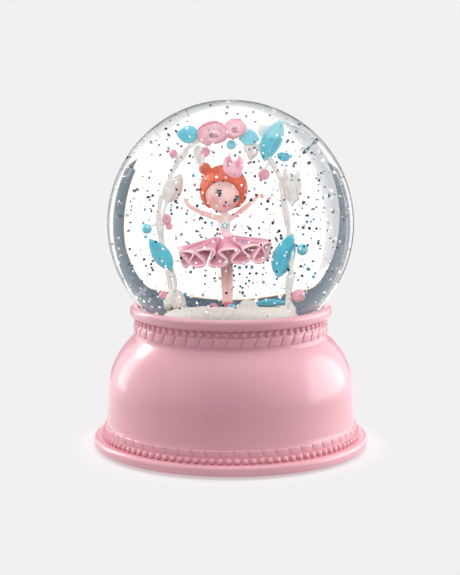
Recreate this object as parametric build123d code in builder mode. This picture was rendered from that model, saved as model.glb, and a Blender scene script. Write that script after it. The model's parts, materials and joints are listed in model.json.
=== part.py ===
from build123d import *
import math
import os

# Night-light snow globe: a water-filled glass ball with a little dancer under a flowered
# arch, set in a moulded pink base that holds the cells, the lamps and the swirl motor.
# Millimetres, +Z up. The origin is the middle of the footprint, on the surface it stands on.

os.makedirs("parts", exist_ok=True)

# ---------------------------------------------------------------- driving sizes
# General fits
slip_gap = 0.3            # between a loose cover and its opening
press_gap = 0.05          # between a plug, screw or pin and its hole
running_gap = 0.05        # between a turning bore and its pin

# Base shell
foot_height = 0.8
shell_wall = 2.2
ring_radius = 56.3
ring_height = 4.3
ring_wall = 2.5
ring_round = 1.6
lower_bead_height = 2.3
lower_bead_reach = 2.3
lower_rope_height = 2.8
lower_rope_reach = 1.4
lower_rope_inset = 0.3
wall_foot_radius = 51.2
wall_radius = 50.4
wall_height = 21.7
shoulder_radius = 31.0
collar_radius = 39.5
collar_plain_height = 1.3
upper_rope_height = 4.0
upper_rope_reach = 0.4
upper_bead_height = 2.9
bead_channel_depth = 1.2
lip_radius = 41.1
lip_height = 4.4
lip_round = 1.6
lip_opening_radius = 38.2
shelf_thickness = 2.4
shelf_bore_radius = 20.0
shelf_drop = 1.1

# Glass globe and its plug
globe_radius = 50.0
glass_wall = 2.2
glass_neck_radius = 33.0
seat_gap = 0.4
gasket_height = 2.6
liquid_film = 0.05
stopper_flange = 2.5
stopper_height = 8.0
membrane = 2.6

# Base plate, feet and screws
plate_thickness = 3.0
foot_radius = 5.0
foot_circle_radius = 47.0
foot_count = 4
boss_radius = 4.6
boss_circle_radius = 44.9
boss_height = 18.0
boss_count = 3
screw_radius = 1.4
screw_head_radius = 2.8
screw_head_height = 1.9
screw_length = 11.0

# Cells and their compartment
cell_count = 3
cell_radius = 5.25
cell_length = 44.5
cell_gap = 0.6
nub_radius = 1.9
nub_length = 0.8
contact_size = 8.0
contact_thickness = 0.4
spring_length = 5.0
spring_radius = 3.0
spring_wire_radius = 0.35
tray_wall = 1.4
tray_centre_y = 8.0
door_thickness = 1.8
door_ledge = 1.5
door_tab_width = 8.0
door_tab_reach = 3.0
door_screw_radius = 1.3
door_screw_head_radius = 2.5
door_screw_head_height = 1.1
door_screw_length = 5.0
door_screw_slack = 0.45

# Control board and slide switch
board_length = 36.0
board_width = 18.0
board_thickness = 1.6
board_centre_y = -29.5
post_radius = 2.0
switch_length = 13.0
switch_width = 6.6
switch_height = 4.2
knob_length = 4.0
knob_width = 2.8
knob_travel = 4.0

# Swirl drive
motor_radius = 12.2
motor_length = 12.0
motor_boss_radius = 3.0
motor_boss_height = 1.4
shaft_radius = 1.0
bracket_radius = 29.0
bracket_thickness = 1.6
bracket_screw_circle = 25.5
bracket_screw_radius = 1.1
bracket_screw_head_radius = 2.1
bracket_screw_head_height = 1.2
carrier_radius = 14.5
carrier_thickness = 3.2
carrier_hub_radius = 3.6
drive_gap = 0.8
magnet_radius = 3.0
magnet_thickness = 1.6
magnet_circle_radius = 9.5
magnet_count = 4
impeller_radius = 16.0
impeller_disc = 1.8
impeller_lift = 0.6
blade_height = 3.2
blade_thickness = 1.2
blade_count = 6
impeller_hub_radius = 2.6
pin_radius = 1.0
pin_collar_radius = 2.0
impeller_magnet_thickness = 1.0

# Lamp ring
lamp_ring_inner = 18.6
lamp_ring_outer = 26.6
lamp_ring_thickness = 1.2
lamp_count = 6
lamp_length = 3.5
lamp_width = 2.8
lamp_height = 1.4
lamp_gap = 0.6
diffuser_thickness = 1.2
lead_radius = 0.6

# Scenery
scenery_rise = 1.2
island_radius = 23.0
island_height = 10.1
island_round = 8.0
root_depth = 2.2
chamber_radius = 18.5
chamber_height = 6.8
outlet_count = 10
outlet_width = 5.0
outlet_height = 3.0
arch_y = 1.0
arch_twig_radius = 1.1
leaf_thickness = 1.4
berry_radius = 1.7
leg_x = -1.3
leg_radius = 1.7
leg_foot_radius = 1.3
skirt_radius = 14.0
skirt_thickness = 3.4
skirt_tilt = 5.0
arm_radius = 1.1
head_radius = 6.4
head_half_height = 6.9
hair_thickness = 0.9
bun_radius = 2.2
glitter_count = 72
glitter_radius = 0.6
glitter_thickness = 0.2

# ---------------------------------------------------------------- levels and radii that follow
plate_bottom = foot_height
plate_top = plate_bottom + plate_thickness
ring_top = plate_bottom + ring_height
lower_bead_top = ring_top + lower_bead_height
lower_rope_top = lower_bead_top + lower_rope_height
shoulder_start = plate_bottom + wall_height
shoulder_centre = wall_radius - shoulder_radius
shoulder_sweep = math.degrees(math.acos((collar_radius - shoulder_centre) / shoulder_radius))
shoulder_end = shoulder_start + shoulder_radius * math.sin(math.radians(shoulder_sweep))
upper_rope_bottom = shoulder_end + collar_plain_height
upper_rope_top = upper_rope_bottom + upper_rope_height
upper_bead_top = upper_rope_top + upper_bead_height
lip_top = upper_bead_top + lip_height
collar_bore = collar_radius - shell_wall
bead_channel_radius = collar_radius - bead_channel_depth
upper_bead_radius = upper_bead_height / 2
cavity_foot_radius = wall_foot_radius - shell_wall
plate_recess_radius = ring_radius - ring_wall
shelf_top = shoulder_end - shelf_drop
shelf_bottom = shelf_top - shelf_thickness

globe_centre = lip_top + math.sqrt((globe_radius + seat_gap) ** 2 - lip_opening_radius ** 2)
flange_top = shelf_top + stopper_flange
glass_bore = glass_neck_radius - glass_wall
stopper_radius = glass_bore - press_gap
stopper_top = flange_top + stopper_height
pocket_top = stopper_top - membrane
ground = stopper_top + island_height
datum = ground + scenery_rise
gasket_top = lip_top - lip_height / 2 + gasket_height / 2

plate_radius = plate_recess_radius - slip_gap
cell_pitch = 2 * cell_radius + cell_gap
cell_centre_z = plate_top + cell_gap + cell_radius
tray_inner_length = cell_length + spring_length + 2 * contact_thickness
tray_inner_width = cell_count * cell_pitch + cell_gap
tray_inner_top = cell_centre_z + cell_radius + cell_gap
tray_end = tray_inner_length / 2
door_length = tray_inner_length + 2 * door_ledge
door_width = tray_inner_width + 2 * door_ledge
door_top = plate_bottom + door_thickness
door_screw_x = door_length / 2 + 4.2
door_lug_radius = door_screw_head_radius + 1.6

board_bottom = plate_top + switch_height
board_top = board_bottom + board_thickness
switch_y = board_centre_y - board_width / 2 + switch_width / 2 + 1.0

motor_top = shelf_bottom - bracket_thickness
motor_bottom = motor_top - motor_length
carrier_top = pocket_top - drive_gap
carrier_bottom = carrier_top - carrier_thickness
hub_bottom = motor_top + motor_boss_height + 0.6
carrier_pocket_radius = carrier_radius + 1.6
lamp_top = shelf_top + lamp_ring_thickness + lamp_height
diffuser_bottom = lamp_top + lamp_gap
diffuser_top = diffuser_bottom + diffuser_thickness
impeller_bottom = stopper_top + impeller_lift
impeller_disc_top = impeller_bottom + impeller_disc
impeller_top = impeller_disc_top + blade_height
chamber_top = stopper_top + chamber_height


# ---------------------------------------------------------------- small drawing helpers
def band(inner, outer, low, high, mode=Mode.ADD):
    """Draw a rectangle of a turned section, between two radii and two heights."""
    with Locations(((inner + outer) / 2, (low + high) / 2)):
        Rectangle(outer - inner, high - low, mode=mode)


def rounded_band(inner, outer, low, high, corner):
    """Draw the same rectangle with its four corners rounded."""
    with Locations(((inner + outer) / 2, (low + high) / 2)):
        RectangleRounded(outer - inner, high - low, corner)


def turned_spheroid(radius, half_height):
    """Make a spheroid about Z, centred on the origin."""
    with BuildPart() as form:
        with BuildSketch(Plane.XZ):
            with BuildLine():
                EllipticalCenterArc((0, 0), radius, half_height, start_angle=-90, arc_size=180)
                Line((0, half_height), (0, -half_height))
            make_face()
        revolve(axis=Axis.Z)
    return form.part


def rod(start, end, radius, end_radius=None):
    """Make a straight rod with round ends, from one point to another."""
    far_radius = radius if end_radius is None else end_radius
    run = Vector(*end) - Vector(*start)
    base = Plane(origin=start, z_dir=run)
    with BuildPart() as form:
        with BuildSketch(base):
            Circle(radius)
        with BuildSketch(base.offset(run.length)):
            Circle(far_radius)
        loft()
        with Locations(start):
            Sphere(radius)
        with Locations(end):
            Sphere(far_radius)
    return form.part


def leaf_blade(length, width, thickness):
    """Make a pointed leaf in the XZ plane, its stalk end on the origin and its tip along +Z."""
    with BuildPart() as form:
        with BuildSketch(Plane.XZ):
            with BuildLine():
                ThreePointArc((0, 0), (width / 2, length * 0.45), (0, length))
                ThreePointArc((0, length), (-width / 2, length * 0.45), (0, 0))
            make_face()
        extrude(amount=thickness / 2, both=True)
    return form.part


def lead(points, corner):
    """Make a thin insulated wire along straight runs joined by tangent arcs."""
    with BuildPart() as form:
        with BuildLine() as route:
            FilletPolyline(*points, radius=corner)
        with BuildSketch(Plane(origin=route.wire() @ 0, z_dir=route.wire() % 0)):
            Circle(lead_radius)
        sweep(path=route.wire())
    return form.part


# ---------------------------------------------------------------- base shell
with BuildPart() as base_shell:
    with BuildSketch(Plane.XZ):
        with BuildLine():
            Polyline((0, upper_rope_top), (0, plate_bottom), (wall_foot_radius, plate_bottom),
                     (wall_radius, shoulder_start))
            CenterArc((shoulder_centre, shoulder_start), shoulder_radius, 0, shoulder_sweep)
            Polyline((collar_radius, shoulder_end), (collar_radius, upper_rope_top),
                     (0, upper_rope_top))
        make_face()
        rounded_band(cavity_foot_radius, ring_radius, plate_bottom, ring_top, ring_round)
        band(cavity_foot_radius, wall_foot_radius + lower_bead_reach / 2, plate_bottom, lower_bead_top)
        with Locations((wall_foot_radius + lower_bead_reach - lower_bead_height / 2,
                        lower_bead_top - lower_bead_height / 2)):
            Circle(lower_bead_height / 2)
        with Locations((wall_foot_radius - lower_rope_inset, lower_rope_top - lower_rope_height / 2)):
            Ellipse(lower_rope_reach, lower_rope_height / 2)
        with Locations((collar_radius, (upper_rope_bottom + upper_rope_top) / 2)):
            Ellipse(upper_rope_reach, upper_rope_height / 2)
        band(0, bead_channel_radius, upper_rope_top, upper_bead_top)
        with Locations((bead_channel_radius - 0.2, (upper_rope_top + upper_bead_top) / 2)):
            Circle(upper_bead_radius)
        band(0, lip_radius - lip_round, upper_bead_top, lip_top)
        rounded_band(collar_bore - 2 * lip_round, lip_radius, upper_bead_top, lip_top, lip_round)
        with BuildLine():
            inner_shoulder = shoulder_radius - shell_wall
            shelf_sweep = math.degrees(math.asin((shelf_bottom - shoulder_start) / inner_shoulder))
            under_shelf = shoulder_centre + inner_shoulder * math.cos(math.radians(shelf_sweep))
            Polyline((0, shelf_bottom), (0, plate_bottom), (cavity_foot_radius, plate_bottom),
                     (shoulder_centre + inner_shoulder, shoulder_start))
            CenterArc((shoulder_centre, shoulder_start), inner_shoulder, 0, shelf_sweep)
            Line((under_shelf, shelf_bottom), (0, shelf_bottom))
        make_face(mode=Mode.SUBTRACT)
        band(0, plate_recess_radius, plate_bottom, plate_top, mode=Mode.SUBTRACT)
        band(0, shelf_bore_radius, shelf_bottom, shelf_top, mode=Mode.SUBTRACT)
        band(0, collar_bore, shelf_top, lip_top, mode=Mode.SUBTRACT)
        band(-ring_radius, 0, plate_bottom, lip_top, mode=Mode.SUBTRACT)
    revolve(axis=Axis.Z)
    with BuildSketch(Plane.XY.offset(plate_top)):
        with PolarLocations(boss_circle_radius, boss_count, start_angle=90):
            Circle(boss_radius)
    extrude(amount=boss_height)
    with BuildSketch(Plane.XY.offset(plate_top)):
        with PolarLocations(boss_circle_radius, boss_count, start_angle=90):
            Circle(screw_radius + press_gap)
    extrude(amount=screw_length, mode=Mode.SUBTRACT)
    with BuildSketch(Plane.XY.offset(shelf_bottom)):
        with PolarLocations(bracket_screw_circle, boss_count, start_angle=30):
            Circle(bracket_screw_radius + press_gap)
    extrude(amount=shelf_thickness, mode=Mode.SUBTRACT)
    with Locations((0, 0, globe_centre)):
        Sphere(globe_radius + seat_gap, mode=Mode.SUBTRACT)

# ---------------------------------------------------------------- glass globe, plug and liquid
with BuildPart() as glass_globe:
    with Locations((0, 0, globe_centre)):
        Sphere(globe_radius)
    with BuildSketch(Plane.XY.offset(flange_top)):
        Circle(glass_neck_radius)
    extrude(amount=globe_centre - flange_top)
    with Locations((0, 0, globe_centre)):
        Sphere(globe_radius - glass_wall, mode=Mode.SUBTRACT)
    with BuildSketch(Plane.XY.offset(globe_centre - globe_radius)):
        Circle(glass_bore)
    extrude(amount=globe_radius, mode=Mode.SUBTRACT)

with BuildPart() as neck_stopper:
    with BuildSketch(Plane.XZ):
        band(0, glass_neck_radius, shelf_top, flange_top)
        band(0, stopper_radius, flange_top, stopper_top)
        band(0, lamp_ring_outer + slip_gap, shelf_top, diffuser_top, mode=Mode.SUBTRACT)
        band(0, carrier_pocket_radius, shelf_top, pocket_top, mode=Mode.SUBTRACT)
    revolve(axis=Axis.Z)
    with BuildSketch(Plane.XY.offset(pocket_top + membrane / 2)):
        Circle(pin_radius + press_gap)
    extrude(amount=membrane / 2, mode=Mode.SUBTRACT)

with BuildPart() as globe_gasket:
    with BuildSketch(Plane.XZ):
        band(glass_neck_radius, collar_bore, gasket_top - gasket_height, gasket_top)
    revolve(axis=Axis.Z)
    with Locations((0, 0, globe_centre)):
        Sphere(globe_radius, mode=Mode.SUBTRACT)

with BuildPart() as island:
    with BuildSketch(Plane.XZ):
        with BuildLine():
            Polyline((0, ground), (0, stopper_top), (island_radius, stopper_top),
                     (island_radius, ground - island_round))
            RadiusArc((island_radius, ground - island_round),
                      (island_radius - island_round, ground), -island_round)
            Line((island_radius - island_round, ground), (0, ground))
        make_face()
        band(0, chamber_radius, stopper_top, chamber_top, mode=Mode.SUBTRACT)
    revolve(axis=Axis.Z)
    with BuildSketch(Plane.XY.offset(stopper_top + 1.0)):
        with PolarLocations((chamber_radius + island_radius) / 2, outlet_count, start_angle=18):
            Rectangle(island_radius - chamber_radius + 2.0, outlet_width)
    extrude(amount=outlet_height, mode=Mode.SUBTRACT)
    with BuildSketch(Plane.XY.offset(chamber_top)):
        with PolarLocations(11.0, 4, start_angle=45, angular_range=120):
            Circle(1.6)
        Circle(pin_radius + press_gap)
    extrude(amount=ground - chamber_top, mode=Mode.SUBTRACT)

with BuildPart() as liquid_fill:
    with Locations((0, 0, globe_centre)):
        Sphere(globe_radius - glass_wall - liquid_film)
    split(bisect_by=Plane.XY.offset(stopper_top + liquid_film), keep=Keep.TOP)
    with BuildSketch(Plane.XY.offset(stopper_top)):
        Circle(chamber_radius)
    extrude(amount=chamber_height, mode=Mode.SUBTRACT)
    with BuildSketch(Plane.XY.offset(stopper_top)):
        Circle(pin_radius + press_gap)
    extrude(amount=ground - stopper_top, mode=Mode.SUBTRACT)
    add(island.part, mode=Mode.SUBTRACT)

# ---------------------------------------------------------------- swirl drive: impeller side
with BuildPart() as impeller_pin:
    with BuildSketch(Plane.XZ):
        band(0, pin_radius, pocket_top + membrane / 2, ground - 0.6)
        band(0, pin_collar_radius, stopper_top, impeller_bottom)
    revolve(axis=Axis.Z)

with BuildPart() as impeller:
    with BuildSketch(Plane.XY.offset(impeller_bottom)):
        Circle(impeller_radius)
    extrude(amount=impeller_disc)
    with BuildSketch(Plane.XY.offset(impeller_disc_top)):
        Circle(impeller_hub_radius)
        with PolarLocations(impeller_radius / 2, blade_count):
            Rectangle(impeller_radius - 1.0, blade_thickness)
    extrude(amount=blade_height)
    with BuildSketch(Plane.XY.offset(impeller_bottom)):
        with PolarLocations(magnet_circle_radius, magnet_count, start_angle=30):
            Circle(magnet_radius + press_gap)
    extrude(amount=impeller_magnet_thickness, mode=Mode.SUBTRACT)
    with BuildSketch(Plane.XY.offset(impeller_bottom)):
        Circle(pin_radius + running_gap)
    extrude(amount=impeller_top - impeller_bottom, mode=Mode.SUBTRACT)

with BuildPart() as impeller_magnets:
    with BuildSketch(Plane.XY.offset(impeller_bottom)):
        with PolarLocations(magnet_circle_radius, magnet_count, start_angle=30):
            Circle(magnet_radius)
    extrude(amount=impeller_magnet_thickness)

# ---------------------------------------------------------------- swirl drive: motor side
with BuildPart() as motor_bracket:
    with BuildSketch(Plane.XY.offset(motor_top)):
        Circle(bracket_radius)
        Circle(motor_boss_radius + slip_gap, mode=Mode.SUBTRACT)
        with PolarLocations(bracket_screw_circle, boss_count, start_angle=30):
            Circle(bracket_screw_radius + press_gap, mode=Mode.SUBTRACT)
        with Locations((0, -(shelf_bore_radius - 1.0))):
            SlotOverall(8.0, 3.2, mode=Mode.SUBTRACT)
    extrude(amount=bracket_thickness)

with BuildPart() as bracket_screws:
    with BuildSketch(Plane.XY.offset(motor_top - bracket_screw_head_height)):
        with PolarLocations(bracket_screw_circle, boss_count, start_angle=30):
            Circle(bracket_screw_head_radius)
    extrude(amount=bracket_screw_head_height)
    with BuildSketch(Plane.XY.offset(motor_top)):
        with PolarLocations(bracket_screw_circle, boss_count, start_angle=30):
            Circle(bracket_screw_radius)
    extrude(amount=bracket_thickness + shelf_thickness - 0.4)

with BuildPart() as motor_can:
    with BuildSketch(Plane.XY.offset(motor_bottom)):
        Circle(motor_radius)
        Rectangle(2 * motor_radius, 2 * motor_radius - 3.0, mode=Mode.INTERSECT)
    extrude(amount=motor_length)
    chamfer(motor_can.faces().sort_by(Axis.Z)[0].edges(), 0.6)
    with BuildSketch(Plane.XY.offset(motor_top)):
        Circle(motor_boss_radius)
    extrude(amount=motor_boss_height)
    with BuildSketch(Plane.XY.offset(motor_top - 6.0)):
        Circle(shaft_radius + running_gap)
    extrude(amount=6.0 + motor_boss_height, mode=Mode.SUBTRACT)

with BuildPart() as rotor_shaft:
    with BuildSketch(Plane.XY.offset(motor_top - 5.6)):
        Circle(shaft_radius)
    extrude(amount=carrier_top - motor_top + 5.0)

with BuildPart() as magnet_carrier:
    with BuildSketch(Plane.XZ):
        band(0, carrier_radius, carrier_bottom, carrier_top)
        band(0, carrier_hub_radius, hub_bottom, carrier_bottom)
    revolve(axis=Axis.Z)
    with BuildSketch(Plane.XY.offset(carrier_top - magnet_thickness)):
        with PolarLocations(magnet_circle_radius, magnet_count, start_angle=30):
            Circle(magnet_radius + press_gap)
    extrude(amount=magnet_thickness, mode=Mode.SUBTRACT)
    with BuildSketch(Plane.XY.offset(hub_bottom)):
        Circle(shaft_radius + press_gap)
    extrude(amount=carrier_top - hub_bottom - 0.5, mode=Mode.SUBTRACT)

with BuildPart() as drive_magnets:
    with BuildSketch(Plane.XY.offset(carrier_top - magnet_thickness)):
        with PolarLocations(magnet_circle_radius, magnet_count, start_angle=30):
            Circle(magnet_radius)
    extrude(amount=magnet_thickness)

# ---------------------------------------------------------------- lamp ring
with BuildPart() as lamp_board:
    with BuildSketch(Plane.XY.offset(shelf_top)):
        Circle(lamp_ring_outer)
        Circle(lamp_ring_inner, mode=Mode.SUBTRACT)
    extrude(amount=lamp_ring_thickness)

with BuildPart() as lamps:
    with BuildSketch(Plane.XY.offset(shelf_top + lamp_ring_thickness)):
        with PolarLocations((lamp_ring_inner + lamp_ring_outer) / 2, lamp_count, start_angle=30):
            Rectangle(lamp_width, lamp_length)
    extrude(amount=lamp_height)

with BuildPart() as light_diffuser:
    with BuildSketch(Plane.XY.offset(diffuser_bottom)):
        Circle(lamp_ring_outer)
        Circle(lamp_ring_inner, mode=Mode.SUBTRACT)
    extrude(amount=diffuser_thickness)

# ---------------------------------------------------------------- base plate, feet and screws
with BuildPart() as base_plate:
    with BuildSketch(Plane.XY.offset(plate_bottom)):
        Circle(plate_radius)
    extrude(amount=plate_thickness)
    with BuildSketch(Plane.XY.offset(plate_top)):
        with Locations((0, board_centre_y)):
            with GridLocations(board_length - 6.0, board_width - 6.0, 2, 2):
                Circle(post_radius)
    extrude(amount=board_bottom - plate_top)
    with BuildSketch(Plane.XY.offset(plate_bottom)):
        with Locations((0, tray_centre_y)):
            Rectangle(door_length + 2 * slip_gap, door_width + 2 * slip_gap)
        with Locations((door_screw_x, tray_centre_y)):
            Circle(door_lug_radius + slip_gap)
        with Locations(((door_length / 2 + door_screw_x) / 2, tray_centre_y)):
            Rectangle(door_screw_x - door_length / 2, 2 * (door_lug_radius + slip_gap))
    extrude(amount=door_thickness + slip_gap, mode=Mode.SUBTRACT)
    with BuildSketch(Plane.XY.offset(plate_bottom)):
        with Locations((0, tray_centre_y)):
            Rectangle(tray_inner_length, tray_inner_width)
    extrude(amount=plate_thickness, mode=Mode.SUBTRACT)
    with BuildSketch(Plane.XY.offset(door_top)):
        with Locations((-tray_end - door_tab_reach / 2, tray_centre_y)):
            with GridLocations(0, tray_inner_width / 2, 1, 2):
                Rectangle(door_tab_reach + 1.6, door_tab_width + 2 * slip_gap)
    extrude(amount=plate_top - door_top, mode=Mode.SUBTRACT)
    with BuildSketch(Plane.XY.offset(plate_top)):
        with Locations((door_screw_x, tray_centre_y)):
            Circle(door_screw_radius + door_screw_slack + 1.4)
    extrude(amount=door_screw_length - 1.0)
    with BuildSketch(Plane.XY.offset(door_top)):
        with Locations((door_screw_x, tray_centre_y)):
            Circle(door_screw_radius + door_screw_slack)
    extrude(amount=door_screw_length, mode=Mode.SUBTRACT)
    with BuildSketch(Plane.XY.offset(plate_bottom)):
        with PolarLocations(boss_circle_radius, boss_count, start_angle=90):
            Circle(screw_radius + press_gap)
    extrude(amount=plate_thickness, mode=Mode.SUBTRACT)
    with BuildSketch(Plane.XY.offset(plate_bottom)):
        with PolarLocations(boss_circle_radius, boss_count, start_angle=90):
            Circle(screw_head_radius + slip_gap)
    extrude(amount=screw_head_height + 0.2, mode=Mode.SUBTRACT)
    with BuildSketch(Plane.XY.offset(plate_bottom)):
        with Locations((knob_travel / 2, switch_y)):
            Rectangle(knob_travel + knob_length + 2 * slip_gap, knob_width + 2 * slip_gap)
    extrude(amount=plate_thickness, mode=Mode.SUBTRACT)

with BuildPart() as plate_screws:
    with BuildSketch(Plane.XY.offset(plate_bottom + 0.2)):
        with PolarLocations(boss_circle_radius, boss_count, start_angle=90):
            Circle(screw_head_radius)
    extrude(amount=screw_head_height)
    with BuildSketch(Plane.XY.offset(plate_bottom + 0.2 + screw_head_height)):
        with PolarLocations(boss_circle_radius, boss_count, start_angle=90):
            Circle(screw_radius)
    extrude(amount=screw_length)
    with BuildSketch(Plane.XY.offset(plate_bottom + 0.2)):
        with PolarLocations(boss_circle_radius, boss_count, start_angle=90):
            Rectangle(3.4, 0.7)
            Rectangle(0.7, 3.4)
    extrude(amount=1.0, mode=Mode.SUBTRACT)

with BuildPart() as feet:
    with BuildSketch(Plane.XY):
        with PolarLocations(foot_circle_radius, foot_count, start_angle=45):
            Circle(foot_radius)
    extrude(amount=foot_height)

# ---------------------------------------------------------------- battery compartment
with BuildPart() as battery_tray:
    with BuildSketch(Plane.XY.offset(plate_top)):
        with Locations((0, tray_centre_y)):
            Rectangle(tray_inner_length + 2 * tray_wall, tray_inner_width + 2 * tray_wall)
    extrude(amount=tray_inner_top + tray_wall - plate_top)
    with BuildSketch(Plane.XY.offset(plate_top)):
        with Locations((0, tray_centre_y)):
            Rectangle(tray_inner_length, tray_inner_width)
    extrude(amount=tray_inner_top - plate_top, mode=Mode.SUBTRACT)
    with BuildSketch(Plane.XY.offset(plate_top)):
        with Locations((-tray_end - tray_wall / 2, tray_centre_y)):
            with GridLocations(0, tray_inner_width / 2, 1, 2):
                Rectangle(tray_wall, door_tab_width + 2 * slip_gap)
    extrude(amount=2.4, mode=Mode.SUBTRACT)

cell_rows = [tray_centre_y + (number - (cell_count - 1) / 2) * cell_pitch for number in range(cell_count)]
cell_sides = [1 if number % 2 == 0 else -1 for number in range(cell_count)]


def battery_cell(row, side):
    """Make one dry cell lying along X, its raised end towards side."""
    tip = side * (tray_end - contact_thickness)
    seat = Plane(origin=(tip, row, cell_centre_z), z_dir=(-side, 0, 0), x_dir=(0, 1, 0))
    with BuildPart() as cell:
        with BuildSketch(seat):
            Circle(nub_radius)
        extrude(amount=nub_length)
        with BuildSketch(seat.offset(nub_length)):
            Circle(cell_radius)
        extrude(amount=cell_length - nub_length)
        fillet(cell.edges().filter_by(GeomType.CIRCLE).group_by(SortBy.RADIUS)[-1], 0.5)
    return cell


battery_cells = [battery_cell(row, side) for row, side in zip(cell_rows, cell_sides)]

with BuildPart() as contact_plates:
    for row, side in zip(cell_rows, cell_sides):
        wall_face = Plane(origin=(side * tray_end, row, cell_centre_z), z_dir=(-side, 0, 0), x_dir=(0, 1, 0))
        with BuildSketch(wall_face):
            Rectangle(contact_size, contact_size)
        extrude(amount=contact_thickness)

with BuildPart() as contact_springs:
    for row, side in zip(cell_rows, cell_sides):
        wall_face = Plane(origin=(-side * tray_end, row, cell_centre_z), z_dir=(side, 0, 0), x_dir=(0, 1, 0))
        with BuildSketch(wall_face):
            Rectangle(contact_size, contact_size)
        extrude(amount=contact_thickness)
        with BuildLine() as coil:
            Helix(pitch=(spring_length - spring_wire_radius) / 3, height=spring_length - spring_wire_radius,
                  radius=spring_radius, center=wall_face.offset(contact_thickness).origin,
                  direction=(side, 0, 0))
        with BuildSketch(Plane(origin=coil.wire() @ 0, z_dir=coil.wire() % 0)):
            Circle(spring_wire_radius)
        sweep(path=coil.wire())

with BuildPart() as battery_door:
    with BuildSketch(Plane.XY.offset(plate_bottom)):
        with Locations((0, tray_centre_y)):
            Rectangle(door_length, door_width)
        with Locations((door_screw_x, tray_centre_y)):
            Circle(door_lug_radius)
        with Locations(((door_length / 2 + door_screw_x) / 2, tray_centre_y)):
            Rectangle(door_screw_x - door_length / 2, door_lug_radius * 2)
    extrude(amount=door_thickness)
    with BuildSketch(Plane.XY.offset(door_top)):
        with Locations((-tray_end - door_ledge / 2, tray_centre_y)):
            with GridLocations(0, tray_inner_width / 2, 1, 2):
                Rectangle(door_ledge, door_tab_width)
    extrude(amount=plate_top - door_top + slip_gap)
    with BuildSketch(Plane.XY.offset(plate_top + slip_gap)):
        with Locations((-tray_end - door_ledge, tray_centre_y)):
            with GridLocations(0, tray_inner_width / 2, 1, 2):
                Rectangle(door_ledge, door_tab_width)
    extrude(amount=0.8)
    with BuildSketch(Plane.XY.offset(plate_bottom)):
        with Locations((door_screw_x, tray_centre_y)):
            Circle(door_screw_radius + running_gap)
    extrude(amount=door_thickness, mode=Mode.SUBTRACT)
    with BuildSketch(Plane.XY.offset(plate_bottom)):
        with Locations((door_screw_x, tray_centre_y)):
            Circle(door_screw_head_radius + running_gap)
    extrude(amount=door_screw_head_height, mode=Mode.SUBTRACT)

with BuildPart() as door_screw:
    with BuildSketch(Plane.XY.offset(plate_bottom)):
        with Locations((door_screw_x, tray_centre_y)):
            Circle(door_screw_head_radius)
    extrude(amount=door_screw_head_height)
    with BuildSketch(Plane.XY.offset(plate_bottom)):
        with Locations((door_screw_x, tray_centre_y)):
            Rectangle(3.2, 0.7)
            Rectangle(0.7, 3.2)
    extrude(amount=0.7, mode=Mode.SUBTRACT)
    with BuildSketch(Plane.XY.offset(plate_bottom + door_screw_head_height)):
        with Locations((door_screw_x, tray_centre_y)):
            Circle(door_screw_radius)
    extrude(amount=door_screw_length)

# ---------------------------------------------------------------- control board and switch
with BuildPart() as circuit_board:
    with BuildSketch(Plane.XY.offset(board_bottom)):
        with Locations((0, board_centre_y)):
            Rectangle(board_length, board_width)
    extrude(amount=board_thickness)
    with BuildSketch(Plane.XY.offset(board_top)):
        with Locations((-9, board_centre_y)):
            Rectangle(6, 5)
        with Locations((8, board_centre_y - 4)):
            Rectangle(4, 2.2)
    extrude(amount=1.5)
    with BuildSketch(Plane.XY.offset(board_top)):
        with Locations((1, board_centre_y - 1)):
            Circle(2.6)
    extrude(amount=6.0)

with BuildPart() as switch_body:
    with BuildSketch(Plane.XY.offset(plate_top)):
        with Locations((knob_travel / 2, switch_y)):
            Rectangle(switch_length, switch_width)
    extrude(amount=switch_height)
    with BuildSketch(Plane.XY.offset(plate_top)):
        with Locations((knob_travel / 2, switch_y)):
            Rectangle(knob_travel + knob_length + 2 * slip_gap, knob_width + 2 * slip_gap)
    extrude(amount=switch_height - 1.4, mode=Mode.SUBTRACT)

with BuildPart() as switch_knob:
    with BuildSketch(Plane.XY.offset(plate_bottom + 0.6)):
        with Locations((0, switch_y)):
            Rectangle(knob_length, knob_width)
    extrude(amount=plate_top - plate_bottom + switch_height - 1.4 - 0.6 - slip_gap)
    with BuildSketch(Plane.XY.offset(plate_bottom + 0.6)):
        with Locations((0, switch_y)):
            with GridLocations(1.2, 0, 3, 1):
                Rectangle(0.4, knob_width)
    extrude(amount=0.4, mode=Mode.SUBTRACT)

# ---------------------------------------------------------------- leads
board_front = board_centre_y + board_width / 2 - 1.5
lamp_lead_y = -(lamp_ring_inner + shelf_bore_radius) / 2
lamp_runs = [lead([(x, board_front, board_top), (x, board_front, board_top + 8.0),
                   (x, lamp_lead_y, board_top + 16.0), (x, lamp_lead_y, shelf_top)], 4.0)
             for x in (-1.0, 1.0)]
motor_runs = [lead([(x, board_front, board_top), (x, board_front, board_top + 6.0),
                    (x, -3.0, board_top + 12.0), (x, -3.0, motor_bottom)], 3.0)
              for x in (5.0, 7.0)]
tray_side = tray_end + tray_wall
cell_runs = [lead([(-tray_side, row, cell_centre_z), (-tray_side - 3.4 - step, row, cell_centre_z),
                   (-tray_side - 3.4 - step, board_centre_y + shift, board_bottom + board_thickness / 2),
                   (-board_length / 2, board_centre_y + shift, board_bottom + board_thickness / 2)], 2.6)
             for row, step, shift in ((cell_rows[0], 0.0, 3.0), (cell_rows[-1], 2.0, 0.0))]

with BuildPart() as lamp_leads:
    add(lamp_runs)

with BuildPart() as motor_leads:
    add(motor_runs)

with BuildPart() as battery_leads:
    add(cell_runs)

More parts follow.
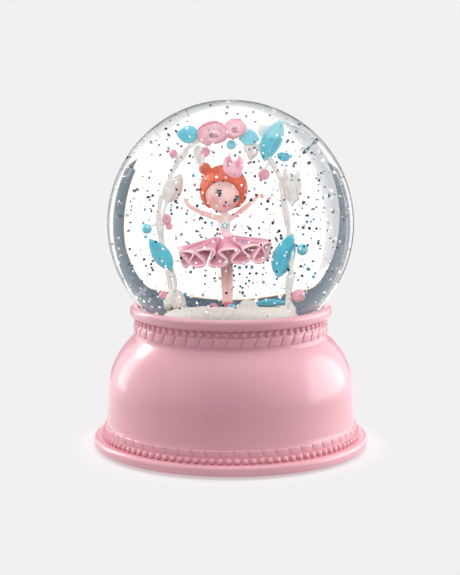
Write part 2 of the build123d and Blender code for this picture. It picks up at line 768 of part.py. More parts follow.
# ---------------------------------------------------------------- scenery: arch and flowers
with BuildPart() as branch_arch:
    with BuildLine() as arch_line:
        FilletPolyline((-17.827, arch_y, ground - root_depth), (-22.5, arch_y, datum + 29.0),
                       (-11.5, arch_y, datum + 51.5), (4.0, arch_y, datum + 52.0),
                       (17.5, arch_y, datum + 34.0), (18.017, arch_y, ground - root_depth), radius=11.0)
    with BuildSketch(Plane(origin=arch_line.wire() @ 0, z_dir=arch_line.wire() % 0)):
        Circle(arch_twig_radius)
    sweep(path=arch_line.wire())
    with BuildSketch(Plane.XY.offset(ground - root_depth)):
        with Locations((-18.0, arch_y), (18.0, arch_y)):
            Circle(2.2)
    extrude(amount=root_depth + 0.8)
    add(island.part, mode=Mode.SUBTRACT)

flower_y = arch_y - arch_twig_radius - 0.3
leaf_root = {
    # x, height over the foot of the arch, length, width and lean from upright of each leaf
    "teal": [(-11.5, 50.0, 9.5, 6.4, -75), (3.5, 51.5, 8.0, 5.6, 62), (11.8, 45.0, 12.0, 7.0, 28),
             (-21.2, 11.0, 10.0, 6.6, 8), (17.4, 9.0, 13.0, 7.8, -8), (15.8, 41.5, 7.0, 5.0, 40)],
    "white": [(-20.0, 33.0, 9.0, 6.0, 24), (16.8, 32.5, 9.0, 6.0, 26), (-13.4, 44.2, 7.0, 4.8, 52),
              (6.5, 50.0, 6.0, 4.4, 165)],
}
leaf_forms = {hue: [leaf_blade(length, width, leaf_thickness) for _, _, length, width, _ in rows]
              for hue, rows in leaf_root.items()}

with BuildPart() as white_leaves:
    for form, (x, height, _, _, lean) in zip(leaf_forms["white"], leaf_root["white"]):
        with Locations(Location((x, flower_y, datum + height), (0, lean, 0))):
            add(form)
    add(branch_arch.part, mode=Mode.SUBTRACT)

with BuildPart() as teal_leaves:
    for form, (x, height, _, _, lean) in zip(leaf_forms["teal"], leaf_root["teal"]):
        with Locations(Location((x, flower_y, datum + height), (0, lean, 0))):
            add(form)
    add(branch_arch.part, mode=Mode.SUBTRACT)
    add(white_leaves.part, mode=Mode.SUBTRACT)

ground_leaf_form = leaf_blade(9.0, 3.6, 1.0)
with BuildPart() as ground_leaves:
    for x, y, turn in ((8.5, -3.0, 0), (3.6, -6.5, 175)):
        tip_way = math.radians(turn)
        with Locations(Plane(origin=(x, y, ground + 0.5), x_dir=(-math.sin(tip_way), math.cos(tip_way), 0),
                             z_dir=(math.cos(tip_way), math.sin(tip_way), 0))):
            add(ground_leaf_form)


def rose(x, height, radius, neighbours):
    """Make one resin rose: a rounded head with a whorl of petals standing on its face."""
    face = Plane(origin=(x, flower_y, datum + height), z_dir=(0, -1, 0), x_dir=(1, 0, 0))
    with BuildPart() as bloom:
        with BuildSketch(face.offset(-1.0)):
            with PolarLocations(radius * 0.42, 5):
                Circle(radius * 0.58)
        extrude(amount=2.2)
        with BuildSketch(face.offset(1.2)):
            Circle(radius * 0.62)
        extrude(amount=1.0)
        with BuildSketch(face.offset(2.2)):
            Circle(radius * 0.3)
        extrude(amount=0.7)
        for neighbour in neighbours:
            add(neighbour.part, mode=Mode.SUBTRACT)
    return bloom


rose_left = rose(-5.6, 53.4, 4.2, (branch_arch, teal_leaves, white_leaves))
rose_right = rose(1.6, 53.8, 3.6, (branch_arch, teal_leaves, white_leaves, rose_left))

pink_berry_places = [(-9.6, 47.4), (9.8, 41.0), (-17.6, 46.0), (-20.4, 26.0), (19.6, 6.0), (-19.8, 5.0)]
teal_berry_places = [(0.1, 49.6), (-23.8, 23.6), (20.2, 19.8)]

with BuildPart() as pink_berries:
    with Locations(*[(x, arch_y, datum + height) for x, height in pink_berry_places]):
        Sphere(berry_radius)
    for neighbour in (branch_arch, teal_leaves, white_leaves, rose_left, rose_right):
        add(neighbour.part, mode=Mode.SUBTRACT)

with BuildPart() as teal_berries:
    with Locations(*[(x, arch_y, datum + height) for x, height in teal_berry_places]):
        Sphere(berry_radius)
    for neighbour in (branch_arch, teal_leaves, white_leaves, rose_left, rose_right, pink_berries):
        add(neighbour.part, mode=Mode.SUBTRACT)

with BuildPart() as white_bush:
    with Locations((-17.0, -2.5, ground + 1.2), (-15.2, 0.6, ground + 1.2), (-16.6, -0.8, ground + 3.0)):
        Sphere(2.4)
    add(island.part, mode=Mode.SUBTRACT)
    for neighbour in (branch_arch, teal_leaves, pink_berries):
        add(neighbour.part, mode=Mode.SUBTRACT)

# ---------------------------------------------------------------- scenery: the dancer
skirt_height = datum + 16.4
skirt_plane = Plane(origin=(leg_x, 0, skirt_height), z_dir=(-math.sin(math.radians(skirt_tilt)), 0,
                                                             math.cos(math.radians(skirt_tilt))))
waist_height = datum + 22.0
shoulder_height = datum + 27.2
chin_height = datum + 28.6
head_centre = (-2.4, 0, chin_height + head_half_height)

with BuildPart() as figure_skirt:
    with BuildSketch(skirt_plane):
        Circle(skirt_radius)
    extrude(amount=skirt_thickness)
    fillet(figure_skirt.edges().filter_by(GeomType.CIRCLE), skirt_thickness * 0.42)
    with BuildSketch(skirt_plane.offset(skirt_thickness)):
        Circle(skirt_radius * 0.6)
    with BuildSketch(skirt_plane.offset(skirt_thickness + 2.6)):
        Circle(2.8)
    loft()

leg_form = rod((leg_x, 0, skirt_height + 1.0), (leg_x, 0, ground + leg_foot_radius),
               leg_radius, leg_foot_radius)
with BuildPart() as figure_leg:
    add(leg_form)
    with BuildSketch(Plane.XY.offset(ground)):
        with Locations((leg_x, -0.4)):
            Ellipse(1.8, 2.2)
    extrude(amount=1.0)
    with BuildSketch(Plane.XY.offset(ground)):
        Circle(island_radius)
    extrude(amount=-2.0, mode=Mode.SUBTRACT)
    add(figure_skirt.part, mode=Mode.SUBTRACT)

with BuildPart() as figure_body:
    with BuildSketch(Plane.XY.offset(waist_height - 2.0)):
        with Locations((leg_x - 0.6, 0)):
            Ellipse(2.4, 1.9)
    with BuildSketch(Plane.XY.offset(waist_height + 1.4)):
        with Locations((leg_x - 0.8, 0)):
            Ellipse(2.5, 2.0)
    with BuildSketch(Plane.XY.offset(shoulder_height)):
        with Locations((-2.4, 0)):
            Ellipse(2.7, 1.8)
    loft()
    with BuildSketch(Plane.XY.offset(shoulder_height)):
        with Locations((-2.4, 0)):
            Circle(1.2)
    extrude(amount=chin_height - shoulder_height + 0.8)
    add(figure_skirt.part, mode=Mode.SUBTRACT)

arm_joints = [((-4.4, 0, shoulder_height - 0.9), (-9.0, -0.4, datum + 26.9), (-13.8, -0.6, datum + 31.8)),
              ((-0.4, 0, shoulder_height - 0.9), (4.4, -0.4, datum + 27.4), (8.2, -0.6, datum + 33.4))]
arm_forms = [rod(start, end, arm_radius, 0.9)
             for shoulder, elbow, hand in arm_joints for start, end in ((shoulder, elbow), (hand, elbow))]
with BuildPart() as figure_arms:
    add(arm_forms)
    add(figure_body.part, mode=Mode.SUBTRACT)

head_form = turned_spheroid(head_radius, head_half_height)
with BuildPart() as figure_head:
    with Locations(head_centre):
        add(head_form)
    add(figure_body.part, mode=Mode.SUBTRACT)

hair_form = turned_spheroid(head_radius + hair_thickness, head_half_height + hair_thickness)
hair_cut = Plane(origin=(head_centre[0], head_centre[1], head_centre[2] + 1.6), z_dir=(0, 0.62, 0.78))
with BuildPart() as figure_hair:
    with Locations(head_centre):
        add(hair_form)
    split(bisect_by=hair_cut, keep=Keep.TOP)
    with Locations((-8.6, 0.4, datum + 41.2)):
        Sphere(bun_radius)
    add(figure_head.part, mode=Mode.SUBTRACT)

with BuildPart() as figure_crown:
    with BuildSketch(Plane(origin=(0.9, -0.8, datum + 42.0), z_dir=(0.16, -0.1, 1))):
        Circle(2.6)
    extrude(amount=3.6, taper=-8)
    add(figure_hair.part, mode=Mode.SUBTRACT)
    add(figure_head.part, mode=Mode.SUBTRACT)

with BuildPart() as bodice_star:
    with BuildSketch(Plane(origin=(-2.0, -1.0, datum + 24.4), z_dir=(0, -1, 0), x_dir=(1, 0, 0))):
        for turn in range(5):
            with Locations(Location((0, 0), 72 * turn)):
                with BuildLine():
                    Polyline((0, 0), (-0.6, 0.8), (0, 2.0), (0.6, 0.8), close=True)
                make_face()
        Circle(0.8)
    extrude(amount=1.5)
    add(figure_body.part, mode=Mode.SUBTRACT)

# ---------------------------------------------------------------- glitter
golden_angle = 180 * (3 - math.sqrt(5))
glitter_shells = (33.0, 38.0, 43.0)
glitter_places = []
for number in range(glitter_count):
    level = -0.55 + 1.45 * (number + 0.5) / glitter_count
    reach = glitter_shells[number % len(glitter_shells)]
    around = math.radians(golden_angle * number)
    flat = reach * math.sqrt(1 - level ** 2)
    glitter_places.append((flat * math.cos(around), flat * math.sin(around), globe_centre + reach * level))

with BuildPart() as glitter_flakes:
    for number, place in enumerate(glitter_places):
        with Locations(Location(place, (37 * number % 180, 53 * number % 180, 0))):
            Cylinder(glitter_radius, glitter_thickness)

# ---------------------------------------------------------------- write the pieces
pieces = {
    "base_shell": base_shell, "glass_globe": glass_globe, "neck_stopper": neck_stopper,
    "globe_gasket": globe_gasket, "island": island, "liquid_fill": liquid_fill,
    "glitter_flakes": glitter_flakes, "impeller_pin": impeller_pin, "impeller": impeller,
    "impeller_magnets": impeller_magnets, "motor_bracket": motor_bracket,
    "bracket_screws": bracket_screws, "motor_can": motor_can, "rotor_shaft": rotor_shaft,
    "magnet_carrier": magnet_carrier, "drive_magnets": drive_magnets, "lamp_board": lamp_board,
    "lamps": lamps, "light_diffuser": light_diffuser, "base_plate": base_plate,
    "plate_screws": plate_screws, "feet": feet, "battery_tray": battery_tray,
    "contact_plates": contact_plates, "contact_springs": contact_springs,
    "battery_door": battery_door, "door_screw": door_screw, "circuit_board": circuit_board,
    "switch_body": switch_body, "switch_knob": switch_knob, "lamp_leads": lamp_leads,
    "motor_leads": motor_leads, "battery_leads": battery_leads, "branch_arch": branch_arch,
    "teal_leaves": teal_leaves, "white_leaves": white_leaves, "ground_leaves": ground_leaves,
    "rose_left": rose_left, "rose_right": rose_right, "pink_berries": pink_berries,
    "teal_berries": teal_berries, "white_bush": white_bush, "figure_leg": figure_leg,
    "figure_skirt": figure_skirt, "figure_body": figure_body, "figure_arms": figure_arms,
    "figure_head": figure_head, "figure_hair": figure_hair, "figure_crown": figure_crown,
    "bodice_star": bodice_star,
}
for number, cell in enumerate(battery_cells, start=1):
    pieces[f"battery_cell_{number}"] = cell

for name, piece in pieces.items():
    piece.part.label = name
    export_step(piece.part, f"parts/{name}.step")
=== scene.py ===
import json
import math
import random

import bmesh
import bpy
from mathutils import Matrix, Vector
from mathutils.kdtree import KDTree

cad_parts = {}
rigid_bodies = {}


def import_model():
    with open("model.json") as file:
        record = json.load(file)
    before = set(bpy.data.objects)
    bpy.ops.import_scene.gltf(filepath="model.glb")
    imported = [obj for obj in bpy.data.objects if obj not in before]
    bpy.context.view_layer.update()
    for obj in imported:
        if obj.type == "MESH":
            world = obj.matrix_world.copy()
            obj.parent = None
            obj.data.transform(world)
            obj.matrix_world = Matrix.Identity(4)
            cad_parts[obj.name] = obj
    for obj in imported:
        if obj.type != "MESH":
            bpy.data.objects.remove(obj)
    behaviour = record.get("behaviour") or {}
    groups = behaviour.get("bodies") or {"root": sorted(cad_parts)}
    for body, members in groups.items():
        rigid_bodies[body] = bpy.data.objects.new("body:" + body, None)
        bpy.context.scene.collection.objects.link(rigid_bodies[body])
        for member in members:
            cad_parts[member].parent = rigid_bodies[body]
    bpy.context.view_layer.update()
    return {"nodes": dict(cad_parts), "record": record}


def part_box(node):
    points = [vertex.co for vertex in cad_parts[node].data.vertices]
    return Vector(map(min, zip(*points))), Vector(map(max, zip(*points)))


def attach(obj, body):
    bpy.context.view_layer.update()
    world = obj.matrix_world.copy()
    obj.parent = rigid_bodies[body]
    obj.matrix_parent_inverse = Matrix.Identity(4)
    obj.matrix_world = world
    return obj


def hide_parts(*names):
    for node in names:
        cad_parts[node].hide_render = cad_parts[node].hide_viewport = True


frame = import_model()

# A night-light snow globe: glossy pink base, glass ball of water and glitter, and a resin dancer
# under a flowered arch. Pieces are drawn in millimetres and turned into metres when finished.

MM = 0.001
random.seed(11)


def box_mm(node):
    """Lowest and highest corner of a frame node, in millimetres."""
    low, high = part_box(node)
    return low / MM, high / MM


# ------------------------------------------------------------------ sizes taken from the frame
shell_low, shell_high = box_mm("base_shell")
ring_radius = shell_high.x
shell_bottom = shell_low.z
lip_top = shell_high.z
glass_low, glass_high = box_mm("glass_globe")
globe_radius = glass_high.x
globe_centre = glass_high.z - globe_radius
ground = box_mm("island")[1].z
scenery_rise = 1.2
datum = ground + scenery_rise
stopper_top = box_mm("neck_stopper")[1].z

glass_wall = 2.2
neck_radius = 33.0
lip_radius = 41.1
lip_opening = 38.2
lip_height = 4.4
upper_bead_height = 2.9
upper_rope_height = 4.0
collar_radius = 39.5
shoulder_radius = 31.0
bowl_radius = 50.4
bowl_foot_radius = 50.95
shell_wall = 2.2
ring_height = 4.3
lower_bead_height = 2.3
lower_rope_height = 2.8
shelf_bore = 20.0

upper_bead_top = lip_top - lip_height
upper_rope_top = upper_bead_top - upper_bead_height
upper_rope_bottom = upper_rope_top - upper_rope_height
ring_top = shell_bottom + ring_height
lower_bead_top = ring_top + lower_bead_height
lower_rope_top = lower_bead_top + lower_rope_height
shoulder_end = upper_rope_bottom - 1.3
shelf_top = shoulder_end - 1.1
shelf_bottom = shelf_top - 2.4


# ------------------------------------------------------------------ making meshes
def finish_piece(name, bm, materials, body="root", replaces=(), crease=None, levels=0,
                 recalculate=True):
    """Turn a bmesh drawn in millimetres into a finished piece riding on a body."""
    if recalculate:
        bmesh.ops.recalc_face_normals(bm, faces=bm.faces)
    bmesh.ops.scale(bm, vec=(MM, MM, MM), verts=bm.verts)
    mesh = bpy.data.meshes.new(name)
    bm.to_mesh(mesh)
    bm.free()
    mesh.shade_smooth()
    if crease is not None:
        mesh.set_sharp_from_angle(angle=math.radians(crease))
    for material in materials:
        mesh.materials.append(material)
    piece = bpy.data.objects.new(name, mesh)
    bpy.context.scene.collection.objects.link(piece)
    if levels:
        surface = piece.modifiers.new("smooth_surface", "SUBSURF")
        surface.levels = levels
        surface.render_levels = levels
    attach(piece, body)
    if replaces:
        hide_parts(*replaces)
    return piece


def arc(centre, radius, start, end, steps):
    """Points of a circular arc in a section, with angles in degrees from straight outward."""
    angles = [math.radians(start + (end - start) * k / steps) for k in range(steps + 1)]
    return [(centre[0] + radius * math.cos(a), centre[1] + radius * math.sin(a)) for a in angles]


def spun(bm, section, steps=160, centre=(0.0, 0.0), closed=True):
    """Turn a section of (radius, height) points about an upright line and return its new faces."""
    known = set(bm.faces)
    verts = [bm.verts.new((centre[0] + r, centre[1], z)) for r, z in section]
    edges = [bm.edges.new(pair) for pair in zip(verts, verts[1:])]
    if closed:
        edges.append(bm.edges.new((verts[-1], verts[0])))
    bmesh.ops.spin(bm, geom=verts + edges, cent=(centre[0], centre[1], 0), axis=(0, 0, 1),
                   angle=math.tau, steps=steps, use_merge=True)
    bmesh.ops.remove_doubles(bm, verts=bm.verts, dist=1e-4)
    return [f for f in bm.faces if f not in known]


def add_mesh(bm, other, matrix=None):
    """Copy a scratch bmesh into another one, placed by a matrix, and empty the scratch one."""
    if matrix is not None:
        bmesh.ops.transform(other, matrix=matrix, verts=other.verts)
    scratch = bpy.data.meshes.new("scratch")
    other.to_mesh(scratch)
    other.free()
    bm.from_mesh(scratch)
    bpy.data.meshes.remove(scratch)


def smooth_path(points, per_span=6):
    """Run a smooth curve through control points given as (position, radius)."""
    places = [Vector(p) for p, _ in points]
    radii = [r for _, r in points]
    path = []
    for k in range(len(places) - 1):
        before, after = places[max(k - 1, 0)], places[min(k + 2, len(places) - 1)]
        here, there = places[k], places[k + 1]
        for step in range(per_span):
            t = step / per_span
            pull = 0.5 * ((there - before) * t + (2 * before - 5 * here + 4 * there - after) * t * t
                          + (3 * here - before - 3 * there + after) * t ** 3)
            path.append((here + pull, radii[k] + (radii[k + 1] - radii[k]) * t * t * (3 - 2 * t)))
    path.append((places[-1], radii[-1]))
    return path


def tube(bm, points, sides=14, per_span=6, bumps=0.0, flat=1.0):
    """Sweep a round section of changing radius along a smooth path, with domed ends."""
    path = smooth_path(points, per_span)
    first, last = path[0], path[-1]
    start_way = (path[1][0] - first[0]).normalized()
    end_way = (last[0] - path[-2][0]).normalized()
    dome = [(0.0, 1.0), (0.5, 0.87), (0.87, 0.5), (0.98, 0.2)]
    path = ([(first[0] - start_way * first[1] * out, first[1] * wide) for out, wide in dome[:0:-1]]
            + path + [(last[0] + end_way * last[1] * out, last[1] * wide) for out, wide in dome[1:]])
    side = start_way.orthogonal().normalized()
    loops = []
    for k, (place, radius) in enumerate(path):
        ahead, behind = path[min(k + 1, len(path) - 1)][0], path[max(k - 1, 0)][0]
        way = (ahead - behind).normalized()
        side = (side - way * side.dot(way)).normalized()
        frame_matrix = Matrix((side, way.cross(side), way)).transposed().to_4x4()
        frame_matrix.translation = place
        grown = radius * (1 + bumps * random.uniform(-1, 1))
        ring = bmesh.ops.create_circle(bm, cap_ends=k in (0, len(path) - 1), segments=sides,
                                       radius=grown, matrix=frame_matrix)
        if flat != 1.0:
            bmesh.ops.scale(bm, vec=(1, flat, 1), space=Matrix.Translation(-place), verts=ring["verts"])
        loops.append({e for v in ring["verts"] for e in v.link_edges})
    for near, far in zip(loops, loops[1:]):
        bmesh.ops.bridge_loops(bm, edges=list(near | far))


def ball(bm, place, size, detail=2, turn=None):
    """Add a rounded lump: an icosphere stretched to three radii, turned and placed."""
    matrix = Matrix.Translation(Vector(place))
    if turn is not None:
        matrix = matrix @ turn
    radii = size if isinstance(size, tuple) else (size,) * 3
    matrix = matrix @ Matrix.Diagonal((*radii, 1.0))
    return bmesh.ops.create_icosphere(bm, subdivisions=detail, radius=1.0, matrix=matrix)["verts"]


def turned(x=0.0, y=0.0, z=0.0):
    """Rotation by degrees about X, then Y, then Z."""
    return (Matrix.Rotation(math.radians(z), 4, "Z") @ Matrix.Rotation(math.radians(y), 4, "Y")
            @ Matrix.Rotation(math.radians(x), 4, "X"))


def mark(bm, name, value_of):
    """Give every corner of the mesh a grey value between 0 and 1 worked out from its vertex."""
    layer = bm.loops.layers.float_color.new(name)
    for face in bm.faces:
        for corner in face.loops:
            grey = max(0.0, min(1.0, value_of(corner.vert.co)))
            corner[layer] = (grey, grey, grey, 1.0)


# ------------------------------------------------------------------ finishes
def srgb(red, green, blue):
    """Linear colour of a screen colour given from 0 to 255."""
    return tuple(c / 255 / 12.92 if c <= 10.3 else ((c / 255 + 0.055) / 1.055) ** 2.4
                 for c in (red, green, blue)) + (1.0,)


def painted(name, dark, light, roughness, grain=180.0, bump=0.05, mark_name=None, mark_colour=None,
            worn=None, **sockets):
    """A finish whose colour wanders between two tones, with a fine relief and uneven gloss."""
    material = bpy.data.materials.new(name)
    material.use_nodes = True
    nodes, links = material.node_tree.nodes, material.node_tree.links
    shader = nodes["Principled BSDF"]
    place = nodes.new("ShaderNodeTexCoord")
    clouds = nodes.new("ShaderNodeTexNoise")
    clouds.inputs["Scale"].default_value = grain
    clouds.inputs["Detail"].default_value = 5.0
    links.new(place.outputs["Object"], clouds.inputs["Vector"])
    tones = nodes.new("ShaderNodeValToRGB")
    tones.color_ramp.elements[0].position = 0.32
    tones.color_ramp.elements[0].color = dark
    tones.color_ramp.elements[1].position = 0.68
    tones.color_ramp.elements[1].color = light
    links.new(clouds.outputs["Fac"], tones.inputs["Fac"])
    colour = tones.outputs["Color"]
    if mark_name:
        marks = nodes.new("ShaderNodeVertexColor")
        marks.layer_name = mark_name
        blend = nodes.new("ShaderNodeMix")
        blend.data_type = "RGBA"
        links.new(marks.outputs["Color"], blend.inputs["Factor"])
        links.new(colour, blend.inputs["A"])
        blend.inputs["B"].default_value = mark_colour
        colour = blend.outputs["Result"]
    if worn:
        edge = nodes.new("ShaderNodeNewGeometry")
        sharp = nodes.new("ShaderNodeMapRange")
        sharp.inputs["From Min"].default_value = 0.52
        sharp.inputs["From Max"].default_value = 0.62
        links.new(edge.outputs["Pointiness"], sharp.inputs["Value"])
        blend = nodes.new("ShaderNodeMix")
        blend.data_type = "RGBA"
        links.new(sharp.outputs["Result"], blend.inputs["Factor"])
        links.new(colour, blend.inputs["A"])
        blend.inputs["B"].default_value = worn
        colour = blend.outputs["Result"]
    links.new(colour, shader.inputs["Base Color"])
    gloss = nodes.new("ShaderNodeMapRange")
    gloss.inputs["To Min"].default_value = roughness * 0.8
    gloss.inputs["To Max"].default_value = roughness * 1.25
    links.new(clouds.outputs["Fac"], gloss.inputs["Value"])
    links.new(gloss.outputs["Result"], shader.inputs["Roughness"])
    grit = nodes.new("ShaderNodeTexNoise")
    grit.inputs["Scale"].default_value = grain * 9
    grit.inputs["Detail"].default_value = 3.0
    links.new(place.outputs["Object"], grit.inputs["Vector"])
    relief = nodes.new("ShaderNodeBump")
    relief.inputs["Strength"].default_value = bump
    relief.inputs["Distance"].default_value = 0.0004
    links.new(grit.outputs["Fac"], relief.inputs["Height"])
    links.new(relief.outputs["Normal"], shader.inputs["Normal"])
    for socket, value in sockets.items():
        shader.inputs[socket.replace("_", " ")].default_value = value
    return material


def clear_body(name, index, tint, roughness=0.0, swirl=0.0):
    """A see-through finish, with a faint unevenness of the surface."""
    material = bpy.data.materials.new(name)
    material.use_nodes = True
    nodes, links = material.node_tree.nodes, material.node_tree.links
    shader = nodes["Principled BSDF"]
    shader.inputs["Base Color"].default_value = tint
    shader.inputs["Transmission Weight"].default_value = 1.0
    shader.inputs["IOR"].default_value = index
    shader.inputs["Roughness"].default_value = roughness
    place = nodes.new("ShaderNodeTexCoord")
    waves = nodes.new("ShaderNodeTexNoise")
    waves.inputs["Scale"].default_value = 28.0
    links.new(place.outputs["Object"], waves.inputs["Vector"])
    relief = nodes.new("ShaderNodeBump")
    relief.inputs["Strength"].default_value = swirl
    relief.inputs["Distance"].default_value = 0.0006
    links.new(waves.outputs["Fac"], relief.inputs["Height"])
    links.new(relief.outputs["Normal"], shader.inputs["Normal"])
    return material


shell_pink = painted("shell_pink", srgb(236, 170, 182), srgb(241, 178, 189), 0.3, grain=30.0, bump=0.012,
                     Coat_Weight=0.35, Coat_Roughness=0.12)
outer_glass = clear_body("outer_glass", 1.5, (1, 1, 1, 1), swirl=0.004)
water_side_glass = clear_body("water_side_glass", 1.128, (1, 1, 1, 1), swirl=0.004)
white_resin = painted("white_resin", srgb(214, 210, 201), srgb(238, 234, 226), 0.5, grain=700.0, bump=0.35,
                      Subsurface_Weight=0.1, Subsurface_Scale=0.002)
vine_white = painted("vine_white", srgb(208, 204, 199), srgb(234, 230, 225), 0.38, grain=420.0, bump=0.2,
                     worn=srgb(238, 236, 232))
bush_white = painted("bush_white", srgb(206, 201, 192), srgb(228, 223, 214), 0.45, grain=520.0, bump=0.3)
teal_resin = painted("teal_resin", srgb(58, 172, 196), srgb(96, 200, 218), 0.22, grain=150.0, bump=0.06,
                     mark_name="tip", mark_colour=srgb(140, 212, 222), worn=srgb(150, 215, 225),
                     Coat_Weight=0.3)
rose_resin = painted("rose_resin", srgb(200, 108, 132), srgb(222, 142, 162), 0.34, grain=240.0, bump=0.08,
                     mark_name="rim", mark_colour=srgb(247, 196, 204))
tutu_pink = painted("tutu_pink", srgb(206, 132, 154), srgb(222, 156, 175), 0.32, grain=200.0, bump=0.07,
                    mark_name="rim", mark_colour=srgb(252, 208, 215))
crown_pink = painted("crown_pink", srgb(230, 152, 172), srgb(240, 178, 194), 0.3, grain=300.0, bump=0.08,
                     worn=srgb(250, 205, 214))
skin_resin = painted("skin_resin", srgb(238, 192, 186), srgb(247, 208, 201), 0.55, grain=160.0, bump=0.04,
                     mark_name="blush", mark_colour=srgb(226, 110, 128))
bodice_white = painted("bodice_white", srgb(232, 214, 210), srgb(244, 230, 226), 0.36, grain=300.0, bump=0.1)
stocking_pink = painted("stocking_pink", srgb(236, 184, 182), srgb(245, 202, 198), 0.38, grain=220.0,
                        bump=0.06, mark_name="shoe", mark_colour=srgb(214, 100, 122))
# The hair's darker mark colour is painted shade along the hairline, where the hair meets the face.
hair_resin = painted("hair_resin", srgb(196, 72, 36), srgb(226, 98, 56), 0.34, grain=300.0, bump=0.1,
                     mark_name="painted_hairline_shade", mark_colour=srgb(176, 56, 30))
eye_black = painted("eye_black", srgb(14, 16, 24), srgb(30, 32, 44), 0.18, grain=600.0, Coat_Weight=0.6)
eye_glint = painted("eye_glint", srgb(240, 244, 248), srgb(252, 252, 252), 0.2, grain=600.0)
lip_red = painted("lip_red", srgb(206, 70, 92), srgb(222, 92, 110), 0.25, grain=600.0)
star_blue = painted("star_blue", srgb(70, 180, 205), srgb(110, 205, 222), 0.25, grain=500.0,
                    worn=srgb(120, 205, 222))
# Dark copies of the silver flakes stand for flakes seen from their shaded side: painted shade.
flake_painted_shade = painted("flake_painted_shade", srgb(14, 20, 30), srgb(46, 60, 78), 0.25, grain=900.0, Metallic=0.6)
# The silver flakes glow faintly though they are no lamp: painted sparkle.
flake_silver_painted_sparkle = painted("flake_silver_painted_sparkle", srgb(236, 240, 244), srgb(254, 254, 250), 0.2, grain=900.0,
                       Emission_Color=srgb(255, 252, 240), Emission_Strength=0.35)
flake_teal = painted("flake_teal", srgb(40, 130, 170), srgb(110, 190, 215), 0.18,
                     grain=900.0, Metallic=0.8)
flake_pink = painted("flake_pink", srgb(226, 150, 180), srgb(246, 200, 214), 0.2,
                     grain=900.0, Metallic=0.5)
flake_foil = painted("flake_foil", srgb(150, 150, 215), srgb(200, 222, 190), 0.15,
                     grain=700.0, Metallic=0.9)


# ------------------------------------------------------------------ base shell and its trims
def base_section():
    """Closed section of the moulded shell, from the plate recess round the outside to the inside."""
    recess = ring_radius - 2.5
    round_off = 1.6
    shoulder_reach = collar_radius - bowl_radius + shoulder_radius
    shoulder_centre = (bowl_radius - shoulder_radius,
                       shoulder_end - math.sqrt(shoulder_radius ** 2 - shoulder_reach ** 2))
    sweep = math.degrees(math.asin((shoulder_end - shoulder_centre[1]) / shoulder_radius))
    section = [(recess, shell_bottom + 0.4)]
    section += arc((recess + 0.4, shell_bottom + 0.4), 0.4, 180, 270, 4)[1:]
    section += arc((ring_radius - round_off, shell_bottom + round_off), round_off, 270, 360, 9)
    section += arc((ring_radius - round_off, ring_top - round_off), round_off, 0, 90, 9)
    section += [(53.6, ring_top), (52.4, ring_top + 0.05)]
    section += [(52.15, ring_top + 0.5), (52.05, lower_bead_top)]
    section += [(51.6, lower_bead_top + 0.1), (51.45, lower_bead_top + 0.4), (51.4, lower_rope_top - 0.5)]
    section += [(bowl_foot_radius + 0.1, lower_rope_top + 0.2)]
    section += [(bowl_foot_radius - 0.05, lower_rope_top + 2.0)]
    section += [(bowl_radius + 0.12, 17.0), (bowl_radius + 0.03, 20.0)]
    section += arc(shoulder_centre, shoulder_radius, 0, sweep - 0.6, 40)
    section += arc((collar_radius + 0.35, shoulder_end + 0.5), 0.45, 200, 180, 2)
    section += [(collar_radius - 0.1, upper_rope_bottom - 0.1)]
    section += [(collar_radius - 0.25, upper_rope_bottom + 0.3), (collar_radius - 0.3, upper_rope_top - 0.4)]
    section += [(38.9, upper_rope_top), (38.75, upper_rope_top + 0.3)]
    section += [(38.75, upper_bead_top - 0.3), (39.0, upper_bead_top)]
    section += arc((lip_radius - 1.5, upper_bead_top + 1.5), 1.5, 270, 360, 8)
    section += arc((lip_radius - 1.7, lip_top - 1.7), 1.7, 0, 90, 10)
    section += arc((lip_opening + 0.5, lip_top - 0.5), 0.5, 90, 180, 4)
    section += [(lip_opening - 0.4, lip_top - 1.4), (37.3, lip_top - 2.2), (37.3, shelf_top)]
    section += [(shelf_bore, shelf_top), (shelf_bore, shelf_bottom), (37.3, shelf_bottom)]
    section += arc(shoulder_centre, shoulder_radius - shell_wall, sweep - 9, 0, 24)
    section += [(49.0, lower_rope_top), (49.0, shell_bottom + 3.0), (recess, shell_bottom + 3.0)]
    return section


shell_mesh = bmesh.new()
spun(shell_mesh, base_section(), steps=224)
finish_piece("pink_base", shell_mesh, [shell_pink], replaces=("base_shell",), crease=40)


def bead_row(name, radius, height, bead_radius, count, squeeze=1.0):
    """A row of small round beads moulded round the shell."""
    bm = bmesh.new()
    for number in range(count):
        angle = math.tau * number / count
        ball(bm, (radius * math.cos(angle), radius * math.sin(angle), height),
             (bead_radius, bead_radius * squeeze, bead_radius), turn=turned(z=math.degrees(angle)))
    return finish_piece(name, bm, [shell_pink])


def rope_row(name, radius, low, high, count, slant, stand_out):
    """A twisted rope moulded round the shell: soft-edged blocks leaning one way, almost touching."""
    bm = bmesh.new()
    middle, half = (low + high) / 2, (high - low) / 2
    pitch = math.tau * radius / count
    for number in range(count):
        block = bmesh.new()
        bmesh.ops.create_cube(block, size=2.0)
        bmesh.ops.scale(block, vec=(stand_out, pitch * 0.5, half), verts=block.verts)
        bmesh.ops.bevel(block, geom=block.edges[:], offset=half * 0.32, offset_type="OFFSET", segments=3,
                        profile=0.5, affect="EDGES", material=-1)
        for vert in block.verts:
            up = vert.co.z / half
            vert.co.y += slant * pitch * (up + 0.25 * up ** 3)
            vert.co.x -= 0.35 * stand_out * (vert.co.y / pitch - slant * up) ** 2
        around = math.tau * number / count
        add_mesh(bm, block, turned(z=math.degrees(around)) @ Matrix.Translation((radius, 0, middle)))
    return finish_piece(name, bm, [shell_pink])


